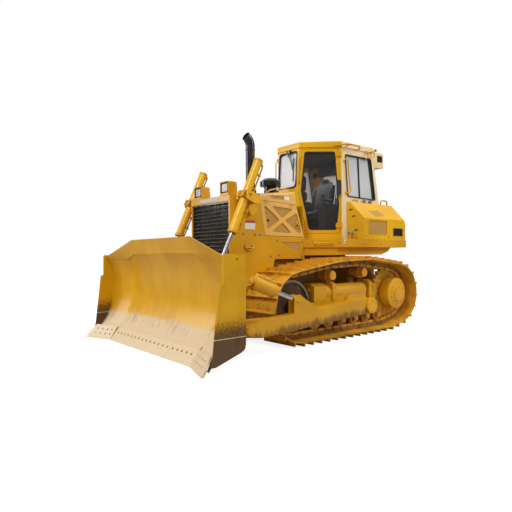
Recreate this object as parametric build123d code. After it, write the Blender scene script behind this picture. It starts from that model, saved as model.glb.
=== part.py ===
from build123d import *
import os
from math import acos, asin, atan2, cos, degrees, hypot, pi, radians, sin, sqrt

# A crawler bulldozer of the 19-tonne class with a semi-U blade, a six-sided cab and a rear fuel tank.
# Frame: the machine faces -Y, its left side is +X, +Z is up. The ground is Z 0, X 0 is the middle,
# and Y 0 lies halfway between the corner bits' tips and the rearmost grouser. Millimetres.

# ---------------------------------------------------------------- driving dimensions
# running gear
gauge_half = 960                # middle of each track from the machine's middle
shoe_width = 700
shoe_count = 43
link_pitch = 188                # pin to pin
sprocket_teeth = 31             # a bushing seats in every second gap
grouser_height = 55
grouser_tip = 14                # thickness at the tip
grouser_root = 28
shoe_plate = 14
plate_gap = 8                   # slit between neighbouring shoes
link_above_pin = 56             # pin centre to the shoe's underside
link_below_pin = 58             # pin centre to the rail's running face
rail_thickness = 45
rail_spacing = 50               # chain middle to a rail's inner face
running_fit = 0.3               # rail's running face to rollers and idler
sprocket_y, sprocket_z = 2060, 650
idler_z = 593
roller_radius = 87
roller_count = 6
roller_step = 330
last_roller_y = 1640
carrier_radius = 105
carrier_places = [(1203, 1062), (365, 1037)]        # (Y, greatest Z) of the carrier rollers
drive_drum_radius = 280
drive_drum_face = 1275          # outer face of the final drive's drum
# hull
guard_half = gauge_half - shoe_width / 2 - 10
hull_half = guard_half - 130
hull_bottom = 400
hull_top = 1300
hull_front, hull_rear = -1080, 2400
guard_front = -1290
guard_corner = 100              # set-back of the guard's rounded corner
guard_bottom = 470
guard_top_front, guard_top_rear = 2300, 2357
guard_skin = 24
grille_half = guard_half - 88
grille_low = 800
grille_top = 2210
grille_depth = 60
grille_bars = 22
hood_half = guard_half - 40
hood_skin = 30
hood_top_front, hood_top_rear = 2360, 2454
seam_front_z, seam_rear_z = 2262, 2227          # seam between hood and side doors
door_foot_z = 1690
skirt_foot_z = 1306
# cab
cab_half = 800
cab_corner_y = 1008             # where the door plane meets the side
cab_front_y = 474               # front face at roof height
cab_front_half = 275
cab_front_lean = 0.077          # the front face comes forward this much for each mm down
cab_rear_top, cab_rear_low = 1925, 2105
cab_wall = 50
cab_sill = 2400                 # height below which the rear wall is upright
roof_top = 3405
cab_eave = roof_top - 105       # top of the walls, under the roof panel
roof_overhang = 14
glass_thickness = 6
door_thickness = 38
door_gap = 6
door_hinge_u, door_hinge_out = 748, 16          # hinge line: along the door's plane and out from it
door_knuckle_height = 90
# platform, boxes and tanks
box_width = 260                 # the boxes stand out this far beyond the cab
deck_top = 1640
deck_bottom = 1500
fender_bottom = 1366            # clears the grousers on the carrier rollers
deck_half = cab_half + box_width
deck_rear = 2635
deck_front = 250                # where the platform's corner starts at the hood's side
deck_corner = 720               # where it reaches the full width
box_front = 1320
box_slant = 175                 # the boxes' front runs this far forward at the cab
tank_seam = 2066
tank_rear = 2610
box_shoulder = 2027             # height where the boxes' sides start to lean in
box_top = 2325
box_top_half = cab_half + 50
# blade and its linkage
blade_half = 1800
wing_start = 1256
mouldboard = 28
blade_clearance = 3             # the parked blade's edge above the ground
arm_pivot_y, arm_pivot_z = 805, 540
arm_inner = gauge_half + shoe_width / 2 + 90
arm_outer = arm_inner + 160
arm_height = 210
trunnion_radius = 90
lift_x = guard_half + 160
lift_t_y, lift_t_z = -1157, 2264                # lift cylinder's trunnion
lift_e_y, lift_e_z = -1858, 750                 # pin on the blade
lift_barrel_radius, lift_bore_radius = 66, 50
lift_rod_radius = 32.5
lift_above, lift_below = 628, 614               # barrel above and below its trunnion
lift_pin_radius = 30
trunnion_pin = 28
lift_eye_play = 16              # the eye's clearance round its pin
pin_fit = 0.5


# ---------------------------------------------------------------- shape helpers
def polygon(points):
    return Face(Wire.make_polygon([Vector(p) for p in points], close=True))


def prism_x(points, x0, x1):
    """A (Y, Z) outline drawn out from x0 to x1."""
    return Solid.extrude(polygon([(x0, y, z) for y, z in points]), Vector(x1 - x0, 0, 0))


def prism_y(points, y0, y1):
    """An (X, Z) outline drawn out from y0 to y1."""
    return Solid.extrude(polygon([(x, y0, z) for x, z in points]), Vector(0, y1 - y0, 0))


def prism_z(points, z0, z1):
    """An (X, Y) outline drawn out from z0 to z1."""
    return Solid.extrude(polygon([(x, y, z0) for x, y in points]), Vector(0, 0, z1 - z0))


def block(x0, x1, y0, y1, z0, z1):
    return prism_z([(x0, y0), (x1, y0), (x1, y1), (x0, y1)], z0, z1)


def bar(start, end, radius, hole=0):
    """A round bar, or a tube where a hole is given, between two points."""
    start, end = Vector(start), Vector(end)
    plane = Plane(origin=start, z_dir=(end - start).normalized())
    length = (end - start).length
    solid = Solid.make_cylinder(radius, length, plane)
    return solid - Solid.make_cylinder(hole, length, plane) if hole else solid


def turned(profile, centre, along=(1, 0, 0)):
    """A turned part: (distance along the axis, radius) points, round an axis at a centre."""
    low, high = profile[0][0], profile[-1][0]
    points = [(low, 0)] + list(profile) + [(high, 0)]
    face = polygon([(s, r, 0) for s, r in points])
    solid = Solid.revolve(face, 360, Axis.X)
    plane = Plane(origin=centre, x_dir=along, z_dir=(0, 0, 1) if along[2] == 0 else (0, 1, 0))
    return plane.from_local_coords(solid)


def mirrored(shape):
    return shape.mirror(Plane.YZ)


def fused(first, *others):
    return first.fuse(*others).clean() if others else first


parts = {}


def keep(name, *solids):
    parts[name] = solids[0] if len(solids) == 1 else Compound(children=list(solids))


def keep_pair(name, *solids):
    """A node for each side."""
    keep(name + "_l", *solids)
    keep(name + "_r", *[mirrored(s) for s in solids])


def keep_both(name, *solids):
    """One node that holds the left pieces and their mirror images."""
    keep(name, *solids, *[mirrored(s) for s in solids])


# ---------------------------------------------------------------- track loop
half_turn = 2 * pi / sprocket_teeth                  # half the angle between seated pins
pin_circle = link_pitch / 2 / sin(half_turn)         # sprocket's pin circle
idler_pin_circle = pin_circle + 6
ground_pin_z = grouser_height + shoe_plate + link_above_pin
roller_z = ground_pin_z + link_below_pin + roller_radius + running_fit


def belt(circles):
    """Straight runs and arcs of a belt that goes round circles (y, z, radius) in order."""
    normals = []
    for (y0, z0, r0), (y1, z1, r1) in zip(circles, circles[1:] + circles[:1]):
        span = hypot(y1 - y0, z1 - z0)
        dy, dz = (y1 - y0) / span, (z1 - z0) / span
        k = (r0 - r1) / span
        h = sqrt(1 - k * k)
        normals.append(atan2(k * dz - h * dy, k * dy + h * dz))
    spans = []
    for i, (y, z, r) in enumerate(circles):
        start, end = normals[i - 1], normals[i]
        spans.append(("arc", (y, z), r, start, (end - start) % (2 * pi)))
        y1, z1, r1 = circles[(i + 1) % len(circles)]
        a = (y + r * cos(end), z + r * sin(end))
        b = (y1 + r1 * cos(end), z1 + r1 * sin(end))
        spans.append(("line", a, b))
    return spans


def span_length(span):
    if span[0] == "arc":
        return span[2] * span[4]
    return hypot(span[2][0] - span[1][0], span[2][1] - span[1][1])


def belt_points(spans, count):
    """Points at equal steps round the belt."""
    total = sum(span_length(s) for s in spans)
    points = []
    for i in range(count):
        s = total * i / count
        for span in spans:
            length = span_length(span)
            if s <= length:
                break
            s -= length
        if span[0] == "arc":
            _, (y, z), r, start, _ = span
            points.append((y + r * cos(start + s / r), z + r * sin(start + s / r)))
        else:
            (y0, z0), (y1, z1) = span[1:]
            points.append((y0 + (y1 - y0) * s / length, z0 + (z1 - z0) * s / length))
    return points


def pin_belt(idler_y):
    circles = [(sprocket_y, sprocket_z, pin_circle)]
    for y, z in carrier_places:
        circles.append((y, z, carrier_radius + running_fit + link_below_pin))
    circles.append((idler_y, idler_z, idler_pin_circle))
    ramp_start = last_roller_y + 0.75 * link_pitch
    circles.append((ramp_start, roller_z, roller_radius + running_fit + link_below_pin))
    return belt(circles)


# The idler is slid forward until the loop is tight on its pins.
loop_length = shoe_count * pin_circle * 2 * half_turn
slack_y, tight_y = last_roller_y - 2 * idler_pin_circle, last_roller_y - loop_length
for _ in range(40):
    idler_y = (slack_y + tight_y) / 2
    if sum(span_length(s) for s in pin_belt(idler_y)) < loop_length:
        slack_y = idler_y
    else:
        tight_y = idler_y

pins = belt_points(pin_belt(idler_y), shoe_count)


def link_frame(i):
    """Pin i, the direction to the next pin and the outward normal."""
    (y0, z0), (y1, z1) = pins[i], pins[(i + 1) % shoe_count]
    span = hypot(y1 - y0, z1 - z0)
    ty, tz = (y1 - y0) / span, (z1 - z0) / span
    return (y0, z0), (ty, tz), (tz, -ty), span


def joint_point(i, height):
    """A point on the bisector at pin i."""
    _, _, before, _ = link_frame((i - 1) % shoe_count)
    (y, z), _, after, _ = link_frame(i)
    ny, nz = before[0] + after[0], before[1] + after[1]
    scale = height * 2 / (ny * ny + nz * nz)
    return y + ny * scale, z + nz * scale


def link_outline(local, joint_height):
    """One closed outline round the loop: a joint point, then each link's local (along, out) points."""
    outline = []
    for i in range(shoe_count):
        outline.append(joint_point(i, joint_height))
        (y, z), (ty, tz), (ny, nz), span = link_frame(i)
        for along, out in local:
            s = along if along >= 0 else span + along
            outline.append((y + ty * s + ny * out, z + tz * s + nz * out))
    return outline


plate_top = link_above_pin + shoe_plate
grouser_out = plate_top + grouser_height
lean = (grouser_root - grouser_tip) / 2
half_slit = plate_gap / 2
shoe_points = [(half_slit, plate_top), (half_slit + lean, grouser_out),
               (half_slit + lean + grouser_tip, grouser_out), (half_slit + grouser_root, plate_top),
               (-half_slit, plate_top)]
shoe_outline = link_outline(shoe_points, link_above_pin + 4)
plate_underside = link_outline([], link_above_pin)
rail_face = [(30, -link_below_pin), (-30, -link_below_pin)]
rail_underside = link_outline(rail_face, -link_below_pin + 20)
rail_root = link_outline([], link_above_pin + 2)


def rail_distance(y, z):
    """How far a point is from the rails' nearest running face."""
    nearest = loop_length
    for i in range(shoe_count):
        (py, pz), (ty, tz), (ny, nz), span = link_frame(i)
        along = (y - py) * ty + (z - pz) * tz
        along = min(max(along, rail_face[0][0]), span + rail_face[1][0])
        fy, fz = py + ty * along - ny * link_below_pin, pz + tz * along - nz * link_below_pin
        nearest = min(nearest, hypot(y - fy, z - fz))
    return nearest


def seated_below(y, z, radius):
    """The height at which a roller that starts at z just runs under the upper rails."""
    while rail_distance(y, z) < radius + running_fit:
        z -= 0.1
    return z


def ring_prism(outer, inner, x0, x1):
    face = polygon([(x0, y, z) for y, z in outer])
    hole = Wire.make_polygon([Vector(x0, y, z) for y, z in inner], close=True)
    return Solid.extrude(face.make_holes([hole]), Vector(x1 - x0, 0, 0))


def track():
    band = ring_prism(shoe_outline, plate_underside, gauge_half - shoe_width / 2, gauge_half + shoe_width / 2)
    rails = []
    for side in (-1, 1):
        near = gauge_half + side * rail_spacing
        far = near + side * rail_thickness
        rails.append(ring_prism(rail_root, rail_underside, near, far))
    return fused(band, *rails)


keep_pair("track", track())

# ---------------------------------------------------------------- sprocket, idler, rollers
chain_half = rail_spacing + rail_thickness
tooth_half = rail_spacing - 14
bushing_seat = 34
tooth_above_pin = 14
drum_bore = drive_drum_radius - 30


def sprocket():
    """A toothed ring: a seat for a bushing between every two teeth."""
    first = atan2(pins[0][1] - sprocket_z, pins[0][0] - sprocket_y)
    flank = acos(-tooth_above_pin / bushing_seat)
    outline = []
    for i in range(sprocket_teeth):
        angle = first + i * half_turn
        y, z = sprocket_y + pin_circle * cos(angle), sprocket_z + pin_circle * sin(angle)
        for share in (-1, -0.5, 0, 0.5, 1):
            seat = angle + pi - share * flank
            outline.append((y + bushing_seat * cos(seat), z + bushing_seat * sin(seat)))
    ring = prism_x(outline, gauge_half - tooth_half, gauge_half + tooth_half)
    return ring - bar((gauge_half - chain_half, sprocket_y, sprocket_z),
                      (gauge_half + chain_half, sprocket_y, sprocket_z),
                      drum_bore)


keep_both("sprockets", sprocket())

drum_step = gauge_half + tooth_half + 30
cover_radius = 148


def final_drive():
    """The drum that carries the sprocket, with its domed cover and the case it turns on."""
    fit = drum_bore - running_fit
    return turned([(hull_half, fit), (drum_step, fit), (drum_step, drive_drum_radius),
                   (drive_drum_face - 60, drive_drum_radius), (drive_drum_face - 12, cover_radius),
                   (drive_drum_face, cover_radius)], (0, sprocket_y, sprocket_z))


keep_both("final_drives", final_drive())

idler_tread = idler_pin_circle * cos(asin(link_pitch / 2 / idler_pin_circle)) - link_below_pin - running_fit
idler_half = chain_half + 12
idler_flange = idler_tread + 22
idler_hub = 135
idler_web = idler_half - 18
idler_rim = 44
hub_radius = 110


def idler():
    """A cast wheel: two treads for the rails, a guiding flange between them, a sunk outer web and a hub."""
    return turned([(-idler_hub, hub_radius), (-idler_half, hub_radius), (-idler_half, idler_tread),
                   (-rail_spacing + 8, idler_tread), (-rail_spacing + 8, idler_flange),
                   (rail_spacing - 8, idler_flange), (rail_spacing - 8, idler_tread),
                   (idler_half, idler_tread), (idler_half, idler_tread - idler_rim),
                   (idler_web, idler_tread - idler_rim), (idler_web, hub_radius), (idler_hub, hub_radius)],
                  (gauge_half, idler_y, idler_z))


keep_both("idlers", idler())

frame_half = 165                # half the track frame's width
frame_side = 24                 # its side plates
frame_foot = roller_z + 50
frame_deck = 610
frame_front, frame_rear = idler_y + idler_tread + 60, 1500
tube_radius = 138
tube_z = 745
roller_flange = roller_radius + 16
roller_places = [last_roller_y - i * roller_step for i in range(roller_count)]
roller_end = chain_half + 14


def roller(y):
    """A bottom roller with a flange outside the chain, held in a saddle at each side plate."""
    wheel = turned([(-roller_end, roller_radius), (chain_half + 2, roller_radius),
                    (chain_half + 2, roller_flange),
                    (roller_end, roller_flange)], (gauge_half, y, roller_z))
    saddles = []
    for side in (-1, 1):
        near, far = sorted((gauge_half + side * roller_end, gauge_half + side * frame_half))
        saddles.append(block(near, far, y - 48, y + 48, roller_z - 42, frame_foot))
    return fused(wheel, *saddles)


carrier_post = frame_half - 32
carrier_shaft = 40
carrier_cap = 75                # the end cap's reach beyond the chain


def carrier(y, z):
    """A carrier roller on a shaft that a bracket holds from the track frame's inner side."""
    wheel = turned([(-carrier_post, carrier_shaft), (-chain_half, carrier_shaft),
                    (-chain_half, carrier_radius),
                    (chain_half, carrier_radius), (chain_half, carrier_radius - 20),
                    (chain_half + carrier_cap, carrier_radius - 24)], (gauge_half, y, z))
    post_x = gauge_half - carrier_post
    bracket = prism_x([(y - 95, frame_deck), (y + 95, frame_deck), (y + 60, z + 50), (y - 60, z + 50)],
                      post_x - 30, post_x)
    return fused(wheel, bracket)


carriers = [carrier(y, seated_below(y, z, carrier_radius)) for y, z in carrier_places]
keep_both("rollers", *[roller(y) for y in roller_places], *carriers)


def track_frame():
    """The roller frame: an upside-down channel with the recoil spring's tube on top."""
    inner, outer = gauge_half - frame_half, gauge_half + frame_half
    channel = prism_y([(inner, frame_foot), (inner + frame_side, frame_foot),
                       (inner + frame_side, frame_deck - 80),
                       (outer - frame_side, frame_deck - 80), (outer - frame_side, frame_foot),
                       (outer, frame_foot), (outer, frame_deck), (inner,
                                                                  frame_deck)], frame_front, frame_rear)
    tube_front = idler_y + idler_flange + 14
    tube = bar((gauge_half + 20, tube_front, tube_z), (gauge_half + 20, 1279, tube_z), tube_radius)
    cradle = block(gauge_half - 60, outer - 20, tube_front, 1279, frame_deck, tube_z)
    straps = [prism_y([(gauge_half - 130, frame_deck), (outer + 8, frame_deck), (outer + 8, 880),
                       (outer - 60, 925), (gauge_half - 80, 925), (gauge_half - 130, 880)], y - 45, y + 45)
              for y in (405, 1380)]
    cover = prism_y([(gauge_half - 120, frame_deck), (outer + 6, frame_deck), (outer + 6, 860),
                     (outer - 70, 908), (gauge_half - 90, 908), (gauge_half - 120, 860)],
                    tube_front, 209)
    return fused(channel, tube, cradle, cover, *straps, *idler_yoke(), arm_trunnion())


def idler_yoke():
    """The fork that slides in the track frame and holds the idler's axle."""
    arms = []
    for side in (-1, 1):
        near = gauge_half + side * (idler_hub + running_fit)
        far = gauge_half + side * frame_half
        arms.append(prism_x([(idler_y - 85, idler_z - 60), (idler_y - 60, idler_z - 85),
                             (frame_front + 1, idler_z - 85), (frame_front + 1, frame_deck),
                             (idler_y + 60, idler_z + 85), (idler_y - 60, idler_z + 85), (idler_y - 85,
                                                                                          idler_z + 60)],
                            min(near, far), max(near, far)))
    return arms


def arm_trunnion():
    """The trunnion that carries the push arm, with its flange on the frame and its end cap."""
    stub = bar((gauge_half + frame_half, arm_pivot_y, arm_pivot_z),
               (arm_outer + 20, arm_pivot_y, arm_pivot_z), trunnion_radius)
    cap = bar((arm_outer + pin_fit + 6, arm_pivot_y, arm_pivot_z),
              (arm_outer + 34, arm_pivot_y, arm_pivot_z), trunnion_radius + 32)
    flange = bar((gauge_half + frame_half, arm_pivot_y, arm_pivot_z),
                 (gauge_half + frame_half + 26, arm_pivot_y, arm_pivot_z),
                 trunnion_radius + 50)
    return fused(stub, cap, flange)


keep_both("track_frames", track_frame())

# ---------------------------------------------------------------- hull
crossbar_y, crossbar_z = 560, 520


def hull():
    """The welded main frame with its rear transmission case, and the shafts to the track frames."""
    body = prism_x([(hull_front, 520), (hull_front + 160, hull_bottom), (1900, hull_bottom), (2250, 470),
                    (hull_rear, 620), (hull_rear, 1180), (2250, hull_top), (1500, hull_top), (1500,
                                                                                              deck_bottom),
                    (420, deck_bottom), (420, hull_top), (hull_front, hull_top)], -hull_half, hull_half)
    solids = [body]
    for side in (-1, 1):
        reach = side * (gauge_half - frame_half)
        solids.append(bar((side * hull_half, crossbar_y, crossbar_z), (reach, crossbar_y, crossbar_z), 85))
        solids.append(bar((side * hull_half, 1380, 480), (reach, 1380, 480), 85))
    return fused(*solids)


keep("hull", hull())


drawbar_y, drawbar_z = 2530, 505
drawbar_plate = 50
drawbar_pin = 28


def drawbar():
    """The towing bracket bolted on the rear case: two plates round an upright pin hole."""
    low, high = drawbar_z - drawbar_plate / 2, drawbar_z + drawbar_plate / 2
    body = prism_x([(hull_rear, low + 30), (hull_rear + 60, low), (drawbar_y + 60, low),
                    (drawbar_y + 60, high),
                    (drawbar_y - 45, high), (hull_rear + 60, high + 30), (hull_rear + 60, high + 170),
                    (hull_rear, high + 230)], -150, 150)
    return body - bar((0, drawbar_y, low - 50), (0, drawbar_y, high + 50), drawbar_pin)


def rear_cover():
    """The cover of the rear gear case."""
    return prism_x([(hull_rear, 780), (hull_rear + 50, 800), (hull_rear + 50, 1120), (hull_rear, 1140)],
                   -330, 330)


keep("rear_hitch", drawbar(), rear_cover())

# ---------------------------------------------------------------- radiator guard and grille
hood_front = -738
skirt_front = [(-642, 1694), (-437, 1308), (-437, hull_top)]        # the guard's rear edge along the skirt
door_front = [(hood_front, 2256)]                                   # and along the side door


def radiator_guard():
    """The guard: side plates and a front frame round the grille, open at the rear."""
    half, front, corner = guard_half, guard_front, guard_corner
    outer = prism_z([(-half, 0), (-half, front + corner), (-half + 0.2 * corner, front + 0.4 * corner),
                     (-half + 0.6 * corner, front), (half - 0.6 * corner, front),
                     (half - 0.2 * corner, front + 0.4 * corner), (half, front + corner), (half, 0)],
                    guard_bottom, guard_top_rear)
    side = prism_x([(front - 10, guard_bottom), (-620, guard_bottom), *reversed(skirt_front), *door_front,
                    (hood_front, guard_top_rear), (front - 10, guard_top_front)], -half - 10, half + 10)
    body = outer & side
    inner = block(-half + guard_skin, half - guard_skin, front + grille_depth + 30, 100, guard_bottom - 10,
                  guard_top_front - guard_skin)
    hull_room = block(-half + guard_skin, half - guard_skin, hull_front - 20, 100, guard_bottom - 20,
                      hull_top + 1)
    window = block(-grille_half, grille_half, front - 20, front + grille_depth + 40, grille_low, grille_top)
    return body.cut(inner, hull_room, window)


guard = radiator_guard()
keep("radiator_guard", guard)


def grille():
    """A frame with level bars and four thin uprights, set in the guard's window."""
    y0 = guard_front + 14
    rim, depth = 22, 42
    half, low, high = grille_half - running_fit, grille_low + running_fit, grille_top - running_fit
    frame = block(-half, half, y0, y0 + depth, low, high)
    frame -= block(-half + rim, half - rim, y0 - 5, y0 + depth + 5, low + rim, high - rim)
    bars = []
    pitch = (high - low - 2 * rim) / (grille_bars + 1)
    for i in range(1, grille_bars + 1):
        z = low + rim + i * pitch
        bars.append(prism_x([(y0 + 2, z - 12), (y0 + 6, z - 14), (y0 + 30, z + 6), (y0 + 26, z + 8)],
                            -half + rim - 2, half - rim + 2))
    for i in range(4):
        x = (i - 1.5) * half / 2.5
        bars.append(block(x - 5, x + 5, y0 + 31, y0 + depth, low + rim - 2, high - rim + 2))
    return fused(frame, *bars)


keep("grille", grille())
radiator_core = block(-guard_half + guard_skin + 1, guard_half - guard_skin - 1,
                      guard_front + grille_depth + 31,
                      guard_front + grille_depth + 150, hull_top, guard_top_front - guard_skin)
engine_top = 2140
keep("engine", block(-330, 330, -700, 299, hull_top, engine_top), radiator_core)


lamp_x = guard_half - 227
lamp_top = guard_top_front + 220


def headlight():
    """A lamp's housing on the guard's top: a box with a sloping back, open at the front."""
    x, top = lamp_x, lamp_top
    foot = guard_top_front - 10
    housing = prism_x([(guard_front + 20, foot), (guard_front + 20, top), (guard_front + 185, top - 6),
                       (guard_front + 205, foot + 40), (guard_front + 205, foot + 10)], x - 110, x + 110)
    room = block(x - 98, x + 98, guard_front + 10, guard_front + 60, foot + 52, top - 12)
    return housing.cut(room, guard)


keep_both("headlights", headlight())

# ---------------------------------------------------------------- hood, side doors, skirts
hood_rear = 300
panel_depth = 10                # depth of the sunk panels in the engine's cover
stack_place = (-95, -360, 80)           # X, Y and radius of the exhaust stack
cleaner_place = (-50, 65, 90)           # X, Y and radius of the air cleaner's neck
strip_rear_top, strip_rear_low = 62, 118        # the side strips end in a slanting edge
cowl_half = cab_front_half              # a narrower cowl runs on to the cab
cowl_top = hood_top_rear + 6
strip_outline = [(hood_front, seam_front_z), (hood_front, hood_top_front - 2),
                 (strip_rear_top, hood_top_rear), (strip_rear_low, seam_rear_z)]
cowl_outline = [(strip_rear_top - 100, seam_rear_z), (strip_rear_top - 100, hood_top_front),
                (strip_rear_top, hood_top_rear), (hood_rear, cowl_top), (hood_rear, seam_rear_z)]


def hood():
    """The top panel of the engine's cover: a shell with rounded shoulders and a narrower cowl behind."""
    strip = prism_x(strip_outline, -hood_half, hood_half)
    shoulders = [e for e in strip.edges() if abs(abs(e.center().X) - hood_half) < 1 and e.length > 500
                 and e.center().Z > hood_top_front]
    outer = fused(strip.fillet(40, shoulders), prism_x(cowl_outline, -cowl_half, cowl_half))
    ceiling = hood_top_front - hood_skin - 4
    inner = block(-hood_half + hood_skin, hood_half - hood_skin, hood_front - 5, strip_rear_top - 10,
                  engine_top, ceiling)
    inner += block(-cowl_half + hood_skin, cowl_half - hood_skin, 0, hood_rear - hood_skin, engine_top,
                   ceiling)
    holes = [bar((x, y, engine_top), (x, y, 3000), pipe + 2) for x, y, pipe in (stack_place, cleaner_place)]
    vent = prism_x([(-490, 2350), (-57, 2350), (-47, 2289), (-441, 2292)], hood_half - panel_depth,
                   hood_half + 5)
    return outer.cut(inner, vent, mirrored(vent), *holes)


keep("hood", hood())

door_front_top, door_rear_top = (-704, seam_front_z - 5), (100, seam_rear_z - 5)
door_front_low, door_rear_low = (-604, door_foot_z + 4), (286, door_foot_z - 6)
door_skin = 34
hinge_radius = 9
hinge_x = hood_half + hinge_radius + running_fit
hinge_front, hinge_rear = (-704, seam_front_z), (100, seam_rear_z)


def engine_door():
    """The left side door: a pressed panel with a crossed frame round four sunk panels."""
    x1 = hood_half
    body = prism_x([door_front_top, door_front_low, door_rear_low, door_rear_top], x1 - door_skin, x1)
    panels = [[(-610, 2178), (-290, 1957), (-538, 1812)],
              [(-438, 2172), (8, 2149), (-219, 2004)],
              [(-148, 1953), (105, 2084), (212, 1775), (165, 1747)],
              [(-224, 1910), (-26, 1749), (-436, 1765)]]
    cuts = [prism_x(p, x1 - panel_depth, x1 + 5) for p in panels]
    hinges = []
    for share in (0.12, 0.8):
        y = hinge_front[0] + (hinge_rear[0] - hinge_front[0]) * share
        z = hinge_front[1] + (hinge_rear[1] - hinge_front[1]) * share
        slope = (hinge_rear[1] - hinge_front[1]) / (hinge_rear[0] - hinge_front[0])
        hinges.append(bar((hinge_x, y, z), (hinge_x, y + 90, z + 90 * slope), hinge_radius))
        hinges.append(prism_x([(y, z - 45), (y + 90, z - 45 + 90 * slope), (y + 90, z + 90 * slope - 4),
                               (y, z - 4)],
                              x1 - 2, x1 + 5))
    return fused(body.cut(*cuts), *hinges)


keep_pair("engine_door", engine_door())


def skirt():
    """The fixed panel below the side door, down to the track, with a sunk mesh."""
    x1 = hood_half
    body = prism_x([(-608, door_foot_z - 4), (-437, skirt_foot_z), (hood_rear, skirt_foot_z),
                    (hood_rear, door_foot_z - 14)],
                   x1 - 24, x1)
    mesh = prism_x([(-249, 1587), (207, 1585), (199, 1421), (-131, 1508)], x1 - panel_depth, x1 + 5)
    return body - mesh


keep_both("side_skirts", skirt())


def exhaust():
    """The exhaust stack: a thin pipe that bends forward at its top."""
    x, y, pipe = stack_place
    foot = engine_top
    bend, radius = 3275, 190
    turn = pi / 3
    elbow = Solid.revolve(Face(Wire.make_circle(pipe, Plane((x, y, bend)))), degrees(turn),
                          Axis((x, y - radius, bend), (1, 0, 0)))
    end = Vector(x, y - radius * (1 - cos(turn)), bend + radius * sin(turn))
    mouth = Vector(0, -sin(turn), cos(turn)) * 28
    collar = bar((x, y, hood_top_rear - 20), (x, y, hood_top_rear + 40), pipe + 22)
    return fused(bar((x, y, foot), (x, y, bend), pipe), elbow, collar) - bar(end - mouth, end + mouth,
                                                                             pipe - 7)


keep("exhaust_stack", exhaust())


def precleaner():
    """The air cleaner's bowl under its domed cap."""
    x, y, neck = cleaner_place
    hood_z = hood_top_rear + 8
    return turned([(engine_top, neck), (hood_z, neck), (hood_z, neck + 22), (hood_z + 151, neck + 22),
                   (hood_z + 151, 188), (hood_z + 228, 188), (hood_z + 280, 110)], (x, y, 0), (0, 0, 1))


keep("precleaner", precleaner())

# ---------------------------------------------------------------- platform, boxes, tanks
deck_gap = 0.5
hood_side = hood_half + deck_gap
deck_plan = [(hood_side, deck_front), (deck_half, deck_corner), (deck_half, deck_rear),
             (-deck_half, deck_rear),
             (-deck_half, deck_corner), (-hood_side, deck_front), (-hood_side, hood_rear + deck_gap),
             (hood_side, hood_rear + deck_gap)]


def platform():
    """The deck that carries cab, boxes and tank, with its underside drawn in above the tracks."""
    slab = prism_z(deck_plan, deck_bottom, deck_top)
    side = deck_half - 100
    under = prism_z([(hood_side, deck_front + 40), (side, deck_corner - 40), (side, deck_rear),
                     (-side, deck_rear),
                     (-side, deck_corner - 40), (-hood_side, deck_front + 40), (-hood_side,
                                                                                hood_rear + deck_gap),
                     (hood_side, hood_rear + deck_gap)], fender_bottom, deck_bottom)
    under &= prism_x([(deck_front, fender_bottom), (1960, fender_bottom), (2160, fender_bottom + 54),
                      (2260, deck_bottom),
                      (deck_front, deck_bottom)], -side - 10, side + 10)
    room = block(-hull_half, hull_half, 420, 1500, 1300, deck_bottom)
    return fused(slab, under) - room


keep("platform", platform())


def box_side(inner):
    return [(inner, deck_top), (deck_half, deck_top), (deck_half, box_shoulder), (box_top_half, box_top),
            (inner, box_top + 4)]


cab_gap = 3
mesh_depth = 8


def on_slope(points):
    """A recess in the box's leaning upper side: (Y, share of the slope's height) points."""
    low, high = Vector(deck_half, 0, box_shoulder), Vector(box_top_half, 0, box_top)
    rise = high - low
    out = Vector(rise.Z, 0, -rise.X).normalized()
    corners = [low + rise * share + Vector(0, y, 0) - out * mesh_depth for y, share in points]
    return Solid.extrude(polygon(corners), out * (mesh_depth + 5))


def side_box():
    """The battery and tool box beside the cab: a slanting front, a leaning upper side and sunk panels."""
    inner, rear = cab_half + cab_gap, tank_seam - 3
    body = prism_y(box_side(inner), box_front - box_slant, rear)
    body &= prism_z([(inner, box_front - box_slant), (deck_half, box_front), (deck_half, rear),
                     (inner, rear)],
                    deck_top - 10, box_top + 10)
    mesh = prism_x([(box_front + 127, 1740), (box_front + 127, 1990), (1995, 2000), (1995, 1740)],
                   deck_half - mesh_depth, deck_half + 5)
    return body.cut(mesh, on_slope([(1560, 0.47), (1880, 0.57), (2020, 0.22), (1690, 0.14)]))


keep_both("side_boxes", side_box())


def fuel_tank():
    """The rear fuel tank: full width, its rear face leaning in above the middle."""
    outline = [(-deck_half, deck_top), (deck_half, deck_top), (deck_half, box_shoulder),
               (box_top_half, box_top),
               (-box_top_half, box_top), (-deck_half, box_shoulder)]
    body = prism_y(outline, tank_seam, tank_rear)
    slope = prism_x([(tank_rear - 160, box_top + 10), (tank_rear + 10, box_shoulder - 97),
                     (tank_rear + 10, box_top + 10)],
                    -deck_half - 10, deck_half + 10)
    niche = block(-cab_half - cab_gap, cab_half + cab_gap, tank_seam - 10, cab_rear_low + cab_gap,
                  deck_top - 5, box_top + 20)
    return body.cut(slope, niche)


keep("fuel_tank", fuel_tank())

# ---------------------------------------------------------------- cab
plane_run = Vector(cab_half - cab_front_half, cab_corner_y - cab_front_y, 0)
door_dir = plane_run.normalized()
door_out = Vector(door_dir.Y, -door_dir.X, 0)
door_origin = Vector(cab_front_half, cab_front_y, 0)


def front_y(z):
    """The front face's Y at a height."""
    return cab_front_y - (cab_eave - z) * cab_front_lean


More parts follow.
